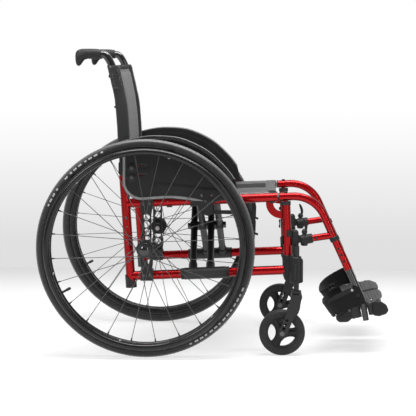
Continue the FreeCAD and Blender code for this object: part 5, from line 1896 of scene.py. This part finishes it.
for name, obj in nodes.items():
    piece = name.rsplit("_", 1)[0]
    if not obj.hide_render and piece in BEVELS:
        soften_edges(obj, BEVELS[piece])

# ------------------------------------------------------------------ stage, light, camera
STAGE_HALF, STAGE_FRONT, STAGE_BACK, WALL_TOP = 7.0, -7.0, 1.45, 4.5      # metres


def add_glow(mat, colour, full):
    """Emission: full to the camera, softer in reflections, low as fill."""
    camera = mat.scaled(mat.source("LightPath", "Is Camera Ray"), by=full * 0.45)
    glossy = mat.scaled(mat.source("LightPath", "Is Glossy Ray"), by=full * 0.15)
    strength = mat.calc("ADD", mat.calc("ADD", camera, glossy), full * 0.55)
    return mat.node("Emission", {0: colour, 1: strength}).outputs[0]


def floor_material():
    mat = Shader("pale_floor")
    y = mat.split(mat.source("NewGeometry", "Position"))[1]
    # painted shade: the floor darkens toward the wall; the ramp spans y from -3 to 1.45 m
    painted_falloff_shade = mat.ramp(mat.scaled(mat.calc("ADD", y, 3.0), by=1 / 4.45),
                    [(0.0, 1.0), (0.55, 1.0), (0.70, 0.985), (0.80, 0.97), (0.835, 0.945),
                     (0.88, 0.885), (0.935, 0.79), (0.97, 0.735), (1.0, 0.715)])
    tint = mat.mix(mat.noise(scale=4.0, detail=2.0), grey(0.985), grey(1.0))
    colour = mat.mix(1.0, painted_falloff_shade, tint, "MULTIPLY")
    diffuse = mat.node("BsdfDiffuse", {0: mat.mix(1.0, colour, grey(0.42), "MULTIPLY")})
    glow = add_glow(mat, colour, full=0.62)
    return mat.finish(mat.node("AddShader", {0: glow, 1: diffuse.outputs[0]}).outputs[0])


def wall_material():
    """Glowing toward the chair, clear from behind."""
    mat = Shader("pale_backdrop")
    z = mat.split(mat.source("NewGeometry", "Position"))[2]
    # painted shade: the backdrop is painted darker toward its foot and pale toward the top
    colour = mat.ramp(z, [(0.0, 0.74), (0.11, 0.75), (0.226, 0.81), (0.34, 0.865),
                          (0.455, 0.93), (0.53, 0.966), (0.61, 1.0), (1.0, 1.0)])
    clear = mat.node("BsdfTransparent", {}).outputs[0]
    return mat.finish(mat.node("MixShader", {0: mat.source("NewGeometry", "Backfacing"),
                                             1: add_glow(mat, colour, full=1.0),
                                             2: clear}).outputs[0])


def stage_sheet(name, corners, material):
    mesh = bpy.data.meshes.new(name)
    mesh.from_pydata(corners, [], [(0, 1, 2, 3)])
    mesh.materials.append(material)
    obj = bpy.data.objects.new(name, mesh)
    bpy.context.scene.collection.objects.link(obj)
    return obj


floor = stage_sheet("floor", [(-STAGE_HALF, STAGE_FRONT, 0), (STAGE_HALF, STAGE_FRONT, 0),
                              (STAGE_HALF, STAGE_BACK, 0), (-STAGE_HALF, STAGE_BACK, 0)],
                    floor_material())
backdrop = stage_sheet("backdrop", [(-STAGE_HALF, STAGE_BACK, -0.001),
                                    (STAGE_HALF, STAGE_BACK, -0.001),
                                    (STAGE_HALF, STAGE_BACK, WALL_TOP),
                                    (-STAGE_HALF, STAGE_BACK, WALL_TOP)], wall_material())


def make_world():
    """Grey sky, brighter overhead."""
    world = bpy.data.worlds.new("studio")
    bpy.context.scene.world = world
    world.use_nodes = True
    tree = world.node_tree
    background = tree.nodes["Background"]
    coords = tree.nodes.new("ShaderNodeTexCoord")
    split = tree.nodes.new("ShaderNodeSeparateXYZ")
    ramp = tree.nodes.new("ShaderNodeValToRGB")
    height = tree.nodes.new("ShaderNodeMapRange")
    height.inputs["From Min"].default_value = -1.0
    tree.links.new(coords.outputs["Generated"], split.inputs[0])
    tree.links.new(split.outputs["Z"], height.inputs[0])
    tree.links.new(height.outputs[0], ramp.inputs[0])
    tree.links.new(ramp.outputs[0], background.inputs[0])
    low, high = ramp.color_ramp.elements
    low.position, low.color = 0.50, (0.16, 0.16, 0.165, 1)
    high.position, high.color = 0.95, (0.60, 0.60, 0.61, 1)
    background.inputs[1].default_value = 0.55


def area_light(name, location, target, width, height, energy):
    light = bpy.data.lights.new(name, "AREA")
    light.shape = "RECTANGLE"
    light.size, light.size_y = width, height
    light.energy = energy
    obj = bpy.data.objects.new(name, light)
    bpy.context.scene.collection.objects.link(obj)
    obj.location = location
    aim = Vector(target) - Vector(location)
    obj.rotation_euler = aim.to_track_quat("-Z", "Y").to_euler()


def make_camera():
    """Long lens on the chair's right side."""
    lens = bpy.data.cameras.new("photo_camera")
    camera = bpy.data.objects.new("photo_camera", lens)
    bpy.context.scene.collection.objects.link(camera)
    lens.sensor_width = 36.0
    lens.lens = 132.308654
    lens.clip_end = 100.0
    camera.location = to_frame([(308.9, -4349.3, 810.8)])[0]
    yaw, down = radians(1.97), radians(5.683)
    aim = Vector((-sin(yaw) * cos(down), cos(yaw) * cos(down), -sin(down)))
    camera.rotation_euler = aim.to_track_quat("-Z", "Y").to_euler()
    bpy.context.scene.camera = camera


make_world()
area_light("top_softbox", location=(0.1, -0.5, 2.7), target=(0, -0.1, 0.3), width=2.4,
           height=0.8, energy=72)
area_light("key_left", location=(-1.9, -2.4, 1.9), target=(0, 0, 0.45), width=0.7,
           height=1.2, energy=27)
area_light("strip_right", location=(2.2, -2.6, 1.1), target=(0.1, 0, 0.4), width=0.35,
           height=1.8, energy=13)
area_light("rim_back", location=(0.4, 1.3, 2.6), target=(0, 0, 0.5), width=2.6,
           height=0.5, energy=24)
make_camera()
bpy.context.scene.view_settings.view_transform = "Standard"
